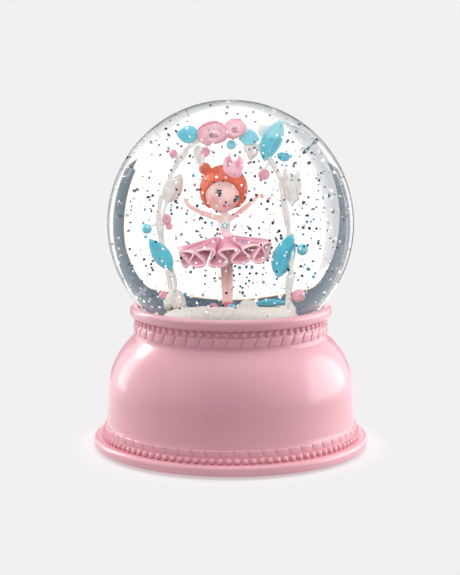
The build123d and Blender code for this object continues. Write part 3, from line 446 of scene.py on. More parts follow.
bead_row("upper_bead_row", 38.25, (upper_bead_top + upper_rope_top) / 2, upper_bead_height / 2 - 0.02, 74,
         squeeze=0.98)
bead_row("lower_bead_row", 52.35, (ring_top + lower_bead_top) / 2, lower_bead_height / 2, 103, squeeze=1.05)
rope_row("upper_rope_row", collar_radius - 0.85, upper_rope_bottom, upper_rope_top, 45, 0.11, 1.0)
rope_row("lower_rope_row", bowl_foot_radius - 0.45, lower_bead_top, lower_rope_top, 59, -0.09, 1.3)


# ------------------------------------------------------------------ glass ball
def glass_section():
    """Closed section of the blown ball and its neck, from the pole down the outside and back inside."""
    inner_radius = globe_radius - glass_wall
    neck_bore = neck_radius - glass_wall
    outer_turn = math.degrees(math.asin(-math.sqrt(globe_radius ** 2 - neck_radius ** 2) / globe_radius))
    inner_turn = math.degrees(math.asin(-math.sqrt(inner_radius ** 2 - neck_bore ** 2) / inner_radius))
    section = arc((0, globe_centre), globe_radius, 90, outer_turn, 96)
    section += [(neck_radius, glass_low.z + 0.4), (neck_radius - 0.4, glass_low.z),
                (neck_bore + 0.4, glass_low.z), (neck_bore, glass_low.z + 0.4)]
    section += arc((0, globe_centre), inner_radius, inner_turn, 90, 96)
    section[0] = (0.0, section[0][1])
    section[-1] = (0.0, section[-1][1])
    return section


glass_mesh = bmesh.new()
spun(glass_mesh, glass_section(), steps=160, closed=False)
middle_of_wall = globe_radius - glass_wall / 2
for face in glass_mesh.faces:
    spot = face.calc_center_median()
    on_ball = spot.z > globe_centre - 38.0
    inside_ball = on_ball and (spot - Vector((0, 0, globe_centre))).length < middle_of_wall
    face.material_index = 1 if inside_ball else 0
globe = finish_piece("globe_glass", glass_mesh, [outer_glass, water_side_glass],
                     replaces=("glass_globe",), crease=35)
globe.visible_shadow = False


# ------------------------------------------------------------------ arch of vine
scenery_y = (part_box("branch_arch")[0].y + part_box("branch_arch")[1].y) / 2 / MM


def on_arch(x, height, y=0.0):
    """A point of the scenery, by its place across and its height over the foot of the arch."""
    return (x, scenery_y + y, datum + height)


vine_mesh = bmesh.new()
tube(vine_mesh, [(on_arch(-17.6, -2.2), 1.90), (on_arch(-17.8, 2.0), 0.88), (on_arch(-18.8, 8.4), 0.72),
                 (on_arch(-20.4, 16.0), 0.76), (on_arch(-21.8, 22.0), 0.64), (on_arch(-22.2, 28.0), 0.84),
                 (on_arch(-21.2, 34.0), 0.68), (on_arch(-18.4, 40.2), 0.72), (on_arch(-16.4, 44.4), 1.00),
                 (on_arch(-13.4, 48.6), 0.72), (on_arch(-8.4, 51.6), 0.88), (on_arch(-2.0, 52.9), 0.96),
                 (on_arch(4.0, 51.8), 0.88), (on_arch(9.6, 47.6), 0.72), (on_arch(13.0, 43.2), 0.92),
                 (on_arch(15.4, 38.0), 0.68), (on_arch(16.0, 31.0), 0.76), (on_arch(17.0, 25.0), 0.64),
                 (on_arch(18.4, 18.0), 0.76), (on_arch(18.4, 12.0), 0.64), (on_arch(17.2, 6.5), 0.76),
                 (on_arch(17.6, 2.0), 0.92), (on_arch(18.0, -2.2), 1.90)],
     sides=12, per_span=6, bumps=0.13)
tendrils = [
    # a thin second stem winding round each side, then short twigs that carry berries and leaves
    [(-17.2, 1.0, -1.2), (-16.9, 8.0, 0.6), (-20.2, 17.0, 1.2), (-21.0, 26.0, -1.0), (-18.6, 34.0, 0.8)],
    [(17.0, 1.0, 0.9), (18.9, 9.0, -1.1), (16.8, 17.0, 0.8), (17.8, 26.0, -1.0), (14.8, 37.0, 0.8)],
    [(-13.5, 47.2, 0.0), (-15.0, 44.8, -0.6), (-17.2, 46.0, -0.4)],
    [(-21.6, 25.0, 0.0), (-23.4, 24.6, -0.4), (-24.6, 23.8, -0.4)],
    [(17.8, 20.0, 0.0), (19.6, 18.8, -0.4), (20.6, 17.6, -0.6)],
    [(12.8, 44.0, 0.0), (11.2, 43.0, -0.6), (10.3, 41.0, -0.8)],
    [(-6.0, 52.4, 0.0), (-7.2, 50.0, -0.8), (-7.9, 48.4, -0.8)],
    [(1.0, 52.6, 0.0), (0.6, 51.0, -0.8), (0.2, 50.2, -0.8)],
]
for twig in tendrils:
    thick = 0.55 if len(twig) > 3 else 0.42
    tube(vine_mesh, [(on_arch(x, height, y), thick) for x, height, y in twig], sides=8, per_span=5,
         bumps=0.05)
finish_piece("vine_arch", vine_mesh, [vine_white], replaces=("branch_arch",))


# ------------------------------------------------------------------ leaves
def leaf(bm, root, length, width, lean, face_turn=0.0, thickness=1.0, cup=0.16, bend=0.12, fold=0.0):
    """A moulded leaf: a grid pinched at both ends, cupped about its midrib, then given thickness.

    lean tips it from upright towards +X in degrees and face_turn swings it about its own length."""
    blade = bmesh.new()
    bmesh.ops.create_grid(blade, x_segments=10, y_segments=16, size=0.5)
    for vert in blade.verts:
        across, along = vert.co.x * 2, vert.co.y + 0.5
        reach = math.sin(math.pi * along ** 0.85) ** 0.8 if 0 < along < 1 else 0.0
        rib = math.exp(-(across / 0.12) ** 2) * 0.35 * reach
        vein = 0.12 * math.sin(along * 38 - abs(across) * 9) * (1 - abs(across)) * reach
        sag = cup * width * across * across * reach + bend * length * (along - 0.5) ** 2
        vert.co = Vector((across * reach * width / 2, -rib - vein + sag + fold * across * reach,
                          along * length))
    bmesh.ops.remove_doubles(blade, verts=blade.verts, dist=0.02)
    bmesh.ops.recalc_face_normals(blade, faces=blade.faces)
    bmesh.ops.solidify(blade, geom=blade.faces[:] + blade.edges[:] + blade.verts[:], thickness=thickness)
    bmesh.ops.remove_doubles(blade, verts=blade.verts, dist=0.02)
    place = Matrix.Translation(Vector(root)) @ turned(y=lean) @ turned(z=face_turn)
    add_mesh(bm, blade, place)


teal_mesh = bmesh.new()
leaf(teal_mesh, on_arch(-9.8, 53.2, -1.2), 7.8, 6.2, -84, face_turn=20)
leaf(teal_mesh, on_arch(2.4, 53.2, -1.4), 7.0, 5.6, 104, face_turn=-18)
leaf(teal_mesh, on_arch(10.6, 44.2, -1.6), 16.6, 7.4, 23, face_turn=24, cup=0.22)
leaf(teal_mesh, on_arch(-18.2, 10.4, -1.6), 12.0, 5.9, -36, face_turn=-22, cup=0.2)
leaf(teal_mesh, on_arch(14.5, 8.2, -1.8), 14.4, 7.4, 19, face_turn=26, cup=0.22)
leaf(teal_mesh, on_arch(14.4, 46.6, -1.0), 4.2, 3.2, 118, face_turn=14)
leaf(teal_mesh, on_arch(15.2, 45.6, -1.4), 3.8, 3.0, 78, face_turn=-20)
leaf(teal_mesh, (8.0, -3.4, ground + 1.0), 9.0, 3.6, 88, face_turn=70, thickness=0.9)
mark(teal_mesh, "tip", lambda co: 0.95 if co.z > datum + 52.4 and co.x > 11.5 else 0.0)
finish_piece("teal_leaf_set", teal_mesh, [teal_resin], replaces=("teal_leaves",
                                                                             "ground_leaves"))

white_mesh = bmesh.new()
leaf(white_mesh, on_arch(-19.6, 31.0, -1.0), 10.2, 6.8, 26, face_turn=20, thickness=1.1)
leaf(white_mesh, on_arch(18.8, 30.0, -1.0), 12.0, 4.6, -12, face_turn=-26, thickness=1.0)
leaf(white_mesh, on_arch(19.4, 30.6, -0.2), 11.0, 4.4, 8, face_turn=30, thickness=1.0)
leaf(white_mesh, on_arch(-10.6, 49.6, -1.0), 7.4, 3.8, 168, face_turn=16, thickness=1.0)
leaf(white_mesh, on_arch(4.6, 50.4, -0.8), 5.4, 4.4, 150, face_turn=14, thickness=1.0)
leaf(white_mesh, on_arch(7.4, 49.0, -0.6), 4.8, 3.8, 196, face_turn=-18, thickness=1.0)
leaf(white_mesh, on_arch(9.0, 52.0, 0.6), 5.6, 4.2, 40, face_turn=20, thickness=1.0)
finish_piece("white_leaf_set", white_mesh, [vine_white], replaces=("white_leaves",))


# ------------------------------------------------------------------ roses
def petal(bm, radius, height, middle, spread, flare, thickness=0.55, curl=0.9):
    """One petal wrapped part of the way round an upright axis, its top edge curling outward."""
    sheet = bmesh.new()
    bmesh.ops.create_grid(sheet, x_segments=12, y_segments=9, size=0.5)
    for vert in sheet.verts:
        across, up = vert.co.x * 2, vert.co.y + 0.5
        angle = math.radians(middle + across * spread / 2)
        crest = height * (1 - 0.32 * across ** 4)
        out = radius * (0.45 + 0.55 * math.sin(up * math.pi / 2)) + flare * up ** 3
        out += 0.25 * math.sin(across * 5 + middle) * up
        lift = crest * up - curl * max(0.0, up - 0.72) ** 2 * height
        vert.co = Vector((out * math.cos(angle), out * math.sin(angle), lift))
    bmesh.ops.recalc_face_normals(sheet, faces=sheet.faces)
    bmesh.ops.solidify(sheet, geom=sheet.faces[:] + sheet.edges[:] + sheet.verts[:], thickness=thickness)
    add_mesh(bm, sheet)


def rolled_heart(bm, start_radius, end_radius, height, turns):
    """The tight spiral of ribbon in the middle of a rose."""
    sheet = bmesh.new()
    bmesh.ops.create_grid(sheet, x_segments=44, y_segments=6, size=0.5)
    for vert in sheet.verts:
        along, up = vert.co.x + 0.5, vert.co.y + 0.5
        angle = along * turns * math.tau
        out = start_radius + (end_radius - start_radius) * along + 0.25 * up * along
        vert.co = Vector((out * math.cos(angle), out * math.sin(angle), height * (up - 0.12 * along * up)))
    bmesh.ops.recalc_face_normals(sheet, faces=sheet.faces)
    bmesh.ops.solidify(sheet, geom=sheet.faces[:] + sheet.edges[:] + sheet.verts[:], thickness=0.45)
    add_mesh(bm, sheet)


def rose(name, node, place, size, turn, squash_height, petals_round):
    """A resin rose facing forward: a rolled heart inside broad petals, with a rounded back."""
    bm = bmesh.new()
    rolled_heart(bm, 0.1, 0.56, 0.98, 1.7)
    petals = bmesh.new()
    for middle, radius, height in petals_round:
        petal(petals, radius, height, middle, 150, 0.8, thickness=0.6)
    bmesh.ops.scale(petals, vec=(0.2, 0.2, 0.2), verts=petals.verts)
    add_mesh(bm, petals)
    ball(bm, (0, 0, 0.16), (0.84, 0.84, 0.34), detail=3)
    mark(bm, "rim", lambda co: (co.z - 0.62) * 2.2)
    facing = (Matrix.Translation(Vector(place)) @ turn @ Matrix.Rotation(math.radians(90), 4, "X")
              @ Matrix.Diagonal((size, size * squash_height, size * 0.85, 1)))
    bmesh.ops.transform(bm, matrix=facing, verts=bm.verts)
    return finish_piece(name, bm, [rose_resin], replaces=(node,))


rose("large_rose", "rose_left", on_arch(-5.4, 54.9, -0.6), 4.5, turned(x=18, y=-12, z=-8), 0.88,
     ((200, 4.4, 4.0), (80, 4.0, 4.6), (320, 4.2, 4.4), (140, 4.7, 3.2), (270, 4.7, 3.2)))
rose("small_rose", "rose_right", on_arch(1.0, 55.9, -1.0), 3.3, turned(x=4, y=24, z=14), 1.05,
     ((20, 4.2, 4.6), (150, 4.4, 4.0), (260, 4.6, 3.6)))


# ------------------------------------------------------------------ berries and the bush
def berry(bm, x, height, radius, y=-0.6):
    """A round berry, a little flattened, with a dimple at its crown."""
    place = Vector(on_arch(x, height, y))
    verts = ball(bm, place, (radius, radius * 0.96, radius), detail=3)
    crown = place + Vector((0.25 * radius, -0.7 * radius, 0.65 * radius))
    for vert in verts:
        near = max(0.0, 1 - (vert.co - crown).length / (radius * 0.45))
        vert.co -= (vert.co - place).normalized() * near * radius * 0.22


berry_mesh = bmesh.new()
for x, height, radius in ((0.1, 49.5, 1.6), (-25.8, 23.2, 1.6), (21.9, 16.8, 1.8)):
    berry(berry_mesh, x, height, radius)
mark(berry_mesh, "tip", lambda co: 0.0)
finish_piece("teal_berry_set", berry_mesh, [teal_resin], replaces=("teal_berries",))

berry_mesh = bmesh.new()
for x, height, radius in ((-8.0, 47.2, 1.6), (10.2, 40.1, 1.8), (-18.0, 46.9, 1.35), (-19.8, 26.1, 1.7),
                          (20.8, 2.6, 2.1), (-20.6, 2.6, 1.4), (-5.2, -0.6, 1.3), (-18.8, 24.0, 1.1)):
    berry(berry_mesh, x, height, radius)
mark(berry_mesh, "rim", lambda co: 0.35)
finish_piece("pink_berry_set", berry_mesh, [rose_resin], replaces=("pink_berries",))

bush_mesh = bmesh.new()
for number in range(26):
    around = math.radians(137.5 * number)
    climb = number / 26
    reach = 2.6 * math.sqrt(1 - climb)
    ball(bush_mesh, (-17.2 + reach * math.cos(around), -1.6 + reach * 0.8 * math.sin(around),
                     ground + 0.2 + 4.8 * climb), random.uniform(1.1, 1.6), detail=2)
finish_piece("snowy_bush", bush_mesh, [bush_white], replaces=("white_bush",))

mound_mesh = bmesh.new()
for x, y, wide, tall in ((5.2, -1.0, 3.2, 3.0), (-8.0, 2.0, 3.0, 0.9), (15.0, -1.0, 2.6, 1.0),
                         (0.6, 8.0, 5.0, 0.9), (-12.0, 8.0, 3.4, 0.8), (11.0, 7.5, 3.6, 0.8)):
    ball(mound_mesh, (x, y, ground - 0.3), (wide, wide * 0.8, tall + 0.3), detail=3)
for vert in mound_mesh.verts:
    vert.co.z = max(vert.co.z, ground - 1.2)
finish_piece("snow_mounds", mound_mesh, [white_resin])

dome_mesh = bmesh.new()
ball(dome_mesh, (0.4, -5.0, ground + 0.1), (1.5, 1.3, 1.35), detail=3)
mark(dome_mesh, "tip", lambda co: 0.0)
finish_piece("teal_button", dome_mesh, [teal_resin])


# ------------------------------------------------------------------ dancer
figure_x = -1.6
rim_radius = 13.9
flutes = 11
skirt_tilt = 5.0
skirt_centre = Vector((figure_x, 0, datum + 15.6))


def skirt_point(around, spread):
    """A point of the tutu: around from 0 to 1, spread from the waist at 0 to the rim at 1."""
    wave = around * flutes * math.tau
    fold = spread ** 1.2
    reach = 1.9 + (rim_radius - 1.9) * spread ** 0.92
    pitch = math.tau * reach / flutes
    slide = pitch * fold * (0.29 * math.sin(2 * wave) + 0.05 * math.sin(wave))
    height = 5.6 * (1 - spread ** 1.05) + (2.85 + 0.35 * math.sin(around * 31)) * fold * math.cos(wave)
    angle = around * math.tau + slide / reach + 0.23
    swell = reach + 0.5 * fold * math.cos(wave)
    return Vector((swell * math.cos(angle), swell * math.sin(angle), height))


skirt_mesh = bmesh.new()
around_steps, spread_steps = flutes * 26, 15
bmesh.ops.create_grid(skirt_mesh, x_segments=around_steps, y_segments=spread_steps, size=0.5)
skirt_rim = skirt_mesh.verts.layers.float.new("rim_value")
for vert in skirt_mesh.verts:
    around, spread = vert.co.x + 0.5, vert.co.y + 0.5
    vert[skirt_rim] = spread
    vert.co = skirt_point(around, spread)
bmesh.ops.remove_doubles(skirt_mesh, verts=skirt_mesh.verts, dist=0.004)
bmesh.ops.recalc_face_normals(skirt_mesh, faces=skirt_mesh.faces)
bmesh.ops.solidify(skirt_mesh, geom=skirt_mesh.faces[:] + skirt_mesh.edges[:] + skirt_mesh.verts[:],
                   thickness=0.55)
rim_layer = skirt_mesh.loops.layers.float_color.new("rim")
for face in skirt_mesh.faces:
    for corner in face.loops:
        reach = corner.vert.co.xy.length
        pale = max(0.0, min(1.0, (reach - 12.9) / 0.9)) + 0.25 * max(0.0, reach - 9) / 5
        corner[rim_layer] = (min(1.0, pale),) * 3 + (1.0,)
ball(skirt_mesh, (0, 0, 5.2), (2.7, 2.4, 1.3), detail=3)
bmesh.ops.transform(skirt_mesh, matrix=Matrix.Translation(skirt_centre) @ turned(y=-skirt_tilt),
                    verts=skirt_mesh.verts)
finish_piece("tutu", skirt_mesh, [tutu_pink], replaces=("figure_skirt",), recalculate=False)

leg_mesh = bmesh.new()
for side in (-1, 1):
    tube(leg_mesh, [((figure_x + 0.3 + side * 0.8, 0.15 * side, datum + 18.5), 1.2),
                    ((figure_x + 0.4 + side * 0.8, 0.15 * side, ground + 12.5), 1.1),
                    ((figure_x + 0.5 + side * 0.75, 0.1 * side, ground + 7.0), 1.0),
                    ((figure_x + 0.6 + side * 0.7, 0, ground + 2.6), 0.9),
                    ((figure_x + 0.5 + side * 0.6, -0.3, ground + 1.3), 0.95),
                    ((figure_x + 0.4 + side * 0.6, -0.9, ground + 0.5), 0.75)], sides=14, per_span=5)
mark(leg_mesh, "shoe", lambda co: (ground + 2.4 - co.z) / 0.5)
finish_piece("legs_and_shoes", leg_mesh, [stocking_pink], replaces=("figure_leg",))

body_mesh = bmesh.new()
tube(body_mesh, [((figure_x - 0.5, 0, datum + 20.2), 1.9), ((figure_x - 0.4, 0, datum + 22.0), 1.6),
                 ((figure_x - 0.3, -0.1, datum + 24.2), 1.85), ((figure_x - 0.3, 0, datum + 26.2), 2.1),
                 ((figure_x - 0.3, 0, datum + 27.0), 1.6)], sides=20, per_span=6, flat=0.85)
finish_piece("bodice", body_mesh, [bodice_white], replaces=("figure_body",))

neck_mesh = bmesh.new()
tube(neck_mesh, [((figure_x - 0.3, 0, datum + 26.6), 1.2), ((figure_x - 0.4, 0, datum + 29.6), 1.0)])
mark(neck_mesh, "blush", lambda co: 0.0)
finish_piece("neck", neck_mesh, [skin_resin])

arm_mesh = bmesh.new()
arm_runs = [
    [(-2.4, 26.4, 0.95), (-5.0, 26.9, 0.8), (-9.0, 28.4, 0.7), (-12.2, 30.0, 0.6), (-13.4, 31.0, 0.5)],
    [(-1.2, 26.4, 0.95), (0.6, 27.0, 0.8), (3.8, 29.3, 0.7), (6.4, 31.6, 0.6), (7.6, 32.8, 0.5)],
]
for run in arm_runs:
    tube(arm_mesh, [((x, -0.3 - 0.03 * abs(x), datum + height), radius) for x, height, radius in run],
         sides=12, per_span=6)
for x, height, lean in ((-13.8, 31.9, -30), (8.2, 33.4, 30)):
    ball(arm_mesh, (x, -0.7, datum + height), (0.52, 0.4, 1.0), detail=3, turn=turned(y=lean))
    ball(arm_mesh, (x + 0.5 * (1 if lean < 0 else -1), -1.0, datum + height + 0.4), (0.26, 0.26, 0.7),
         detail=2, turn=turned(y=-lean))
mark(arm_mesh, "blush", lambda co: 0.0)
finish_piece("arms_and_hands", arm_mesh, [skin_resin], replaces=("figure_arms",))

pearl_mesh = bmesh.new()
ball(pearl_mesh, (9.6, -0.7, datum + 33.5), 0.7, detail=3)
ball(pearl_mesh, (11.7, -0.7, datum + 32.9), 0.68, detail=3)
mark(pearl_mesh, "rim", lambda co: 0.6)
finish_piece("hand_pearls", pearl_mesh, [rose_resin])

head_centre = Vector((-2.2, 0.1, datum + 35.0))
head_radii = Vector((6.35, 6.1, 6.8))
face_shift = 1.0
head_roll = turned(y=13)


def head_front(across, up, lift=0.0):
    """A point on the front of the head, from its place across and up the tilted, turned face."""
    across += face_shift
    depth = math.sqrt(max(0.02, 1 - (across / head_radii.x) ** 2 - (up / head_radii.z) ** 2))
    local = Vector((across, -head_radii.y * depth - lift, up))
    return head_centre + head_roll.to_3x3() @ local


head_mesh = bmesh.new()
ball(head_mesh, (0, 0, 0), 1.0, detail=5)
for vert in head_mesh.verts:
    co = vert.co
    jaw = max(0.0, -co.z)
    cheek = math.exp(-((co.z + 0.42) / 0.3) ** 2) * 0.05
    vert.co = Vector((co.x * head_radii.x * (1 - 0.22 * jaw ** 2 + cheek),
                      co.y * head_radii.y * (1 - 0.12 * jaw ** 2), co.z * head_radii.z))
nose_spot = Vector((face_shift, -head_radii.y, -1.9))
for vert in head_mesh.verts:
    if vert.co.y < 0:
        vert.co.y -= 0.42 * math.exp(-((vert.co - nose_spot).length / 0.75) ** 2)
cheeks = [Vector((face_shift + side * 3.3, -4.4, -2.9)) for side in (-1, 1)]
mark(head_mesh, "blush", lambda co: 0.55 * max(math.exp(-((co - c).length / 1.7) ** 2) for c in cheeks))
bmesh.ops.transform(head_mesh, matrix=Matrix.Translation(head_centre) @ head_roll, verts=head_mesh.verts)
finish_piece("head", head_mesh, [skin_resin], replaces=("figure_head",))


def face_patch(bm, across, up, wide, tall, turn=0.0, pinch=0.0, lift=0.1):
    """A thin painted patch lying on the face: a disc stretched to an almond and laid on the head."""
    disc = bmesh.new()
    bmesh.ops.create_circle(disc, cap_ends=True, cap_tris=False, segments=28, radius=1.0)
    inset = bmesh.ops.inset_region(disc, faces=disc.faces[:], thickness=0.35)
    bmesh.ops.triangulate(disc, faces=[f for f in disc.faces if f not in inset["faces"]])
    bmesh.ops.subdivide_edges(disc, edges=disc.edges[:], cuts=1, use_grid_fill=True)
    swing = Matrix.Rotation(math.radians(turn), 2)
    for vert in disc.verts:
        flat = Vector((vert.co.x * wide, vert.co.y * tall * (1 - pinch * abs(vert.co.x) ** 1.5)))
        flat = swing @ flat
        edge = max(0.0, 1 - vert.co.xy.length)
        vert.co = head_front(across + flat.x, up + flat.y, lift * min(1.0, edge * 4) + 0.03)
    add_mesh(bm, disc)


eye_mesh = bmesh.new()
glint_mesh = bmesh.new()
for side, across, up in ((-1, -2.4, -0.25), (1, 3.2, -1.1)):
    face_patch(eye_mesh, across, up, 0.72, 1.1, turn=side * -10, pinch=0.3)
    face_patch(eye_mesh, across + side * 0.15, up + 0.9, 0.98, 0.3, turn=side * -22, pinch=0.7)
    for number in range(3):
        face_patch(eye_mesh, across + side * (0.8 + 0.12 * number), up + 1.0 - 0.5 * number, 0.5, 0.12,
                   turn=side * (38 - 20 * number), pinch=0.7)
    face_patch(glint_mesh, across - 0.15, up + 0.4, 0.2, 0.24, lift=0.17)
    face_patch(glint_mesh, across + 0.25, up - 0.4, 0.12, 0.14, lift=0.17)
finish_piece("painted_eyes", eye_mesh, [eye_black])
finish_piece("eye_glints", glint_mesh, [eye_glint])

mouth_mesh = bmesh.new()
face_patch(mouth_mesh, -0.25, -3.85, 0.42, 0.3, turn=12, pinch=0.2, lift=0.16)
face_patch(mouth_mesh, 0.28, -3.85, 0.42, 0.3, turn=-12, pinch=0.2, lift=0.16)
face_patch(mouth_mesh, 0.02, -4.1, 0.5, 0.26, pinch=0.3, lift=0.2)
finish_piece("painted_mouth", mouth_mesh, [lip_red])

# Hair: a cap turned about the line of sight of the face, open over the face, thick at its edge.
hair_mesh = bmesh.new()
opening = 53.0
cap_section = [(math.sin(math.radians(a)), math.cos(math.radians(a)))
               for a in [opening + (180 - opening) * k / 40 for k in range(41)]]
thick = 0.11
inner_section = [(r * (1 - thick * 1.2), z * (1 - thick * 1.2)) for r, z in cap_section[::-1]]
spun(hair_mesh, cap_section + inner_section, steps=96)
for vert in hair_mesh.verts:
    around = math.atan2(vert.co.y, vert.co.x)
    if vert.co.length > 0.95:
        vert.co *= 1 + 0.012 * math.sin(26 * around) * vert.co.xy.length
face_way = turned(x=90 + 22)
bmesh.ops.transform(hair_mesh, matrix=face_way, verts=hair_mesh.verts)
bmesh.ops.scale(hair_mesh, vec=(7.35, 7.0, 7.6), verts=hair_mesh.verts)
bmesh.ops.bisect_plane(hair_mesh, geom=hair_mesh.verts[:] + hair_mesh.edges[:] + hair_mesh.faces[:],
                       plane_co=(0, 0, -4.9), plane_no=(0.27, 0.2, -1), clear_outer=True)
bmesh.ops.holes_fill(hair_mesh, edges=[e for e in hair_mesh.edges if e.is_boundary], sides=0)
for bun_place, bun_size in (((-7.0, 0.8, 4.9), (1.9, 1.9, 1.9)), ((-6.0, 0.6, 4.0), (1.5, 1.5, 1.2))):
    ball(hair_mesh, bun_place, bun_size, detail=4)
# Painted shade: the hair is darker in a band along its edge round the face.
mark(hair_mesh, "painted_hairline_shade",
     lambda co: 0.25 * math.exp(-((Vector((co.x, co.z + 2)).length - 5.6) / 0.9) ** 2) if co.y < -3 else 0.0)
bmesh.ops.transform(hair_mesh, matrix=Matrix.Translation(head_centre + Vector((0, 0.25, 0.35))) @ head_roll,
                    verts=hair_mesh.verts)
finish_piece("hair", hair_mesh, [hair_resin], replaces=("figure_hair",), crease=50)

crown_mesh = bmesh.new()
crown_section = [(0.0, 0.3), (1.9, 0.0), (2.6, 0.4), (3.05, 2.2), (3.3, 4.7), (2.6, 4.7), (2.2, 3.9),
                 (1.6, 3.5), (0.0, 3.3)]
spun(crown_mesh, crown_section, steps=60, closed=False)
for vert in crown_mesh.verts:
    around = math.atan2(vert.co.y, vert.co.x)
    if vert.co.z > 4.2:
        spike = (0.5 + 0.5 * math.cos(5 * around + 1.6)) ** 1.2
        vert.co.z += 2.5 * spike - 0.5
        vert.co.xy *= 1.0 - 0.08 * spike
for number in range(5):
    around = (math.tau * number - 1.6) / 5
    ball(crown_mesh, (2.75 * math.cos(around), 2.75 * math.sin(around), 6.75), 0.45, detail=2)
crown_place = Matrix.Translation(Vector((0.2, -1.6, datum + 39.3))) @ turned(x=10, y=8)
bmesh.ops.transform(crown_mesh, matrix=crown_place, verts=crown_mesh.verts)
finish_piece("crown", crown_mesh, [crown_pink], replaces=("figure_crown",))

star_mesh = bmesh.new()
bmesh.ops.create_circle(star_mesh, cap_ends=True, segments=10, radius=1.0)
for number, vert in enumerate(star_mesh.verts):
    vert.co *= 1.2 if number % 2 == 0 else 0.55
lifted = bmesh.ops.extrude_face_region(star_mesh, geom=star_mesh.faces[:])
raised = [v for v in lifted["geom"] if isinstance(v, bmesh.types.BMVert)]
bmesh.ops.translate(star_mesh, vec=(0, 0, 0.9), verts=raised)
bmesh.ops.bevel(star_mesh, geom=star_mesh.edges[:], offset=0.1, offset_type="OFFSET", segments=2,
                profile=0.5, affect="EDGES", material=-1)
star_place = Matrix.Translation(Vector((figure_x - 0.2, -1.35, datum + 24.5))) @ turned(x=90)
bmesh.ops.transform(star_mesh, matrix=star_place, verts=star_mesh.verts)
finish_piece("chest_star", star_mesh, [star_blue], replaces=("bodice_star",), crease=35)


# ------------------------------------------------------------------ glitter
scenery_names = ("vine_arch", "teal_leaf_set", "white_leaf_set", "large_rose", "small_rose",
                 "teal_berry_set", "pink_berry_set", "tutu", "head", "neck", "hair", "crown",
                 "legs_and_shoes", "bodice", "arms_and_hands", "snowy_bush", "snow_mounds",
                 "teal_button", "chest_star", "hand_pearls", "painted_eyes", "painted_mouth",
                 "eye_glints")
resin_names = scenery_names + ("island",)
solid_points = [v.co / MM for name in resin_names for v in bpy.data.objects[name].data.vertices]
near_solid = KDTree(len(solid_points))
for number, co in enumerate(solid_points):
    near_solid.insert(co, number)
near_solid.balance()
water_centre = Vector((0, 0, globe_centre))
flake_margin = 2.2
flake_clearance = 1.3
flake_ceiling = 36
flake_thickness = 0.12
mound_radius = 24.5
water_radius = globe_radius - glass_wall - flake_margin


def flake_place(reach):
    """A random place in the water, clear of the resin, more of them near the wall and the floor."""
    while True:
        way = Vector((random.gauss(0, 1), random.gauss(0, 1), random.gauss(0, 1))).normalized()
        place = water_centre + way * reach * random.random() ** 0.36
        over_island = place.xy.length < mound_radius
        if place.z > globe_centre + flake_ceiling or (place.z < ground + 0.3 and over_island):
            continue
        if place.z < stopper_top + 1.0:
            continue
        if near_solid.find(place)[2] > flake_clearance:
            return place


def flakes(name, material, count, low_radius, high_radius, reach=water_radius, replaces=()):
    """Thin round foil flakes: about half lie square to the front, the rest drift at any angle."""
    bm = bmesh.new()
    for number in range(count):
        radius = random.uniform(low_radius, high_radius)
        loose = 180 if number % 2 else 40
        spin_way = turned(90 + random.uniform(-loose, loose), 0, random.uniform(-loose, loose))
        bmesh.ops.create_cone(bm, cap_ends=True, segments=8, radius1=radius, radius2=radius,
                              depth=flake_thickness,
                              matrix=Matrix.Translation(flake_place(reach)) @ spin_way)
    return finish_piece(name, bm, [material], replaces=replaces, crease=30)


# These dark flakes are painted shade: silver flakes as seen from their shaded side.
flakes("dark_flakes", flake_painted_shade, 250, 0.36, 0.52, reach=water_radius - 5.0,
       replaces=("glitter_flakes", "liquid_fill"))
# These silver flakes carry a painted sparkle: they glow faintly though they are no lamp.
flakes("silver_flakes", flake_silver_painted_sparkle, 620, 0.38, 0.56)
flakes("teal_flakes", flake_teal, 200, 0.34, 0.52)
flakes("pink_flakes", flake_pink, 70, 0.34, 0.5)
flakes("foil_flakes", flake_foil, 180, 0.34, 0.54)

# ------------------------------------------------------------------ finishes of the frame's own parts
plain_finishes = (
    ("foam_seal", (206, 204, 200), (232, 230, 226), 0.9, dict(grain=900.0, bump=0.6)),
    ("white_plastic", (228, 228, 226), (242, 242, 240), 0.35, dict(bump=0.04)),
    ("diffuser", (236, 236, 232), (250, 250, 246), 0.5, dict(bump=0.1, Transmission_Weight=0.35)),
    ("plate_pink", (226, 164, 176), (236, 178, 189), 0.42,
     dict(grain=90.0, bump=0.16, worn=srgb(244, 206, 213))),
    ("foot_rubber", (196, 190, 190), (218, 213, 212), 0.75, dict(grain=500.0, bump=0.35)),
    ("screw_steel", (150, 152, 156), (196, 198, 202), 0.3,
     dict(grain=700.0, bump=0.1, worn=srgb(228, 230, 232), Metallic=1.0)),
    ("spring_steel", (172, 172, 168), (208, 208, 204), 0.25, dict(grain=700.0, Metallic=1.0)),
    ("motor_steel", (140, 142, 146), (176, 178, 182), 0.34, dict(grain=400.0, bump=0.12, Metallic=1.0)),
    ("magnet_metal", (160, 162, 168), (190, 192, 198), 0.2, dict(grain=300.0, Metallic=1.0)),
    ("board_green", (24, 84, 52), (42, 112, 70), 0.4, dict(grain=600.0, bump=0.2)),
    ("lamp_yellow", (238, 220, 130), (250, 240, 180), 0.3, dict(grain=800.0)),
    ("switch_black", (22, 22, 24), (44, 44, 48), 0.45, dict(grain=700.0, bump=0.3)),
    ("cell_silver", (120, 124, 130), (158, 162, 168), 0.32, dict(grain=260.0, Metallic=0.8)),
    ("lead_red", (170, 30, 34), (206, 52, 50), 0.5, dict(grain=800.0, bump=0.1)),
)
slot_finish = {
    "clear_silicone": clear_body("clear_silicone", 1.41, srgb(236, 238, 238), roughness=0.35, swirl=0.05),
    "white_resin": white_resin,
}
for name, dark, light, roughness, more in plain_finishes:
    slot_finish[name] = painted(name, srgb(*dark), srgb(*light), roughness, **more)
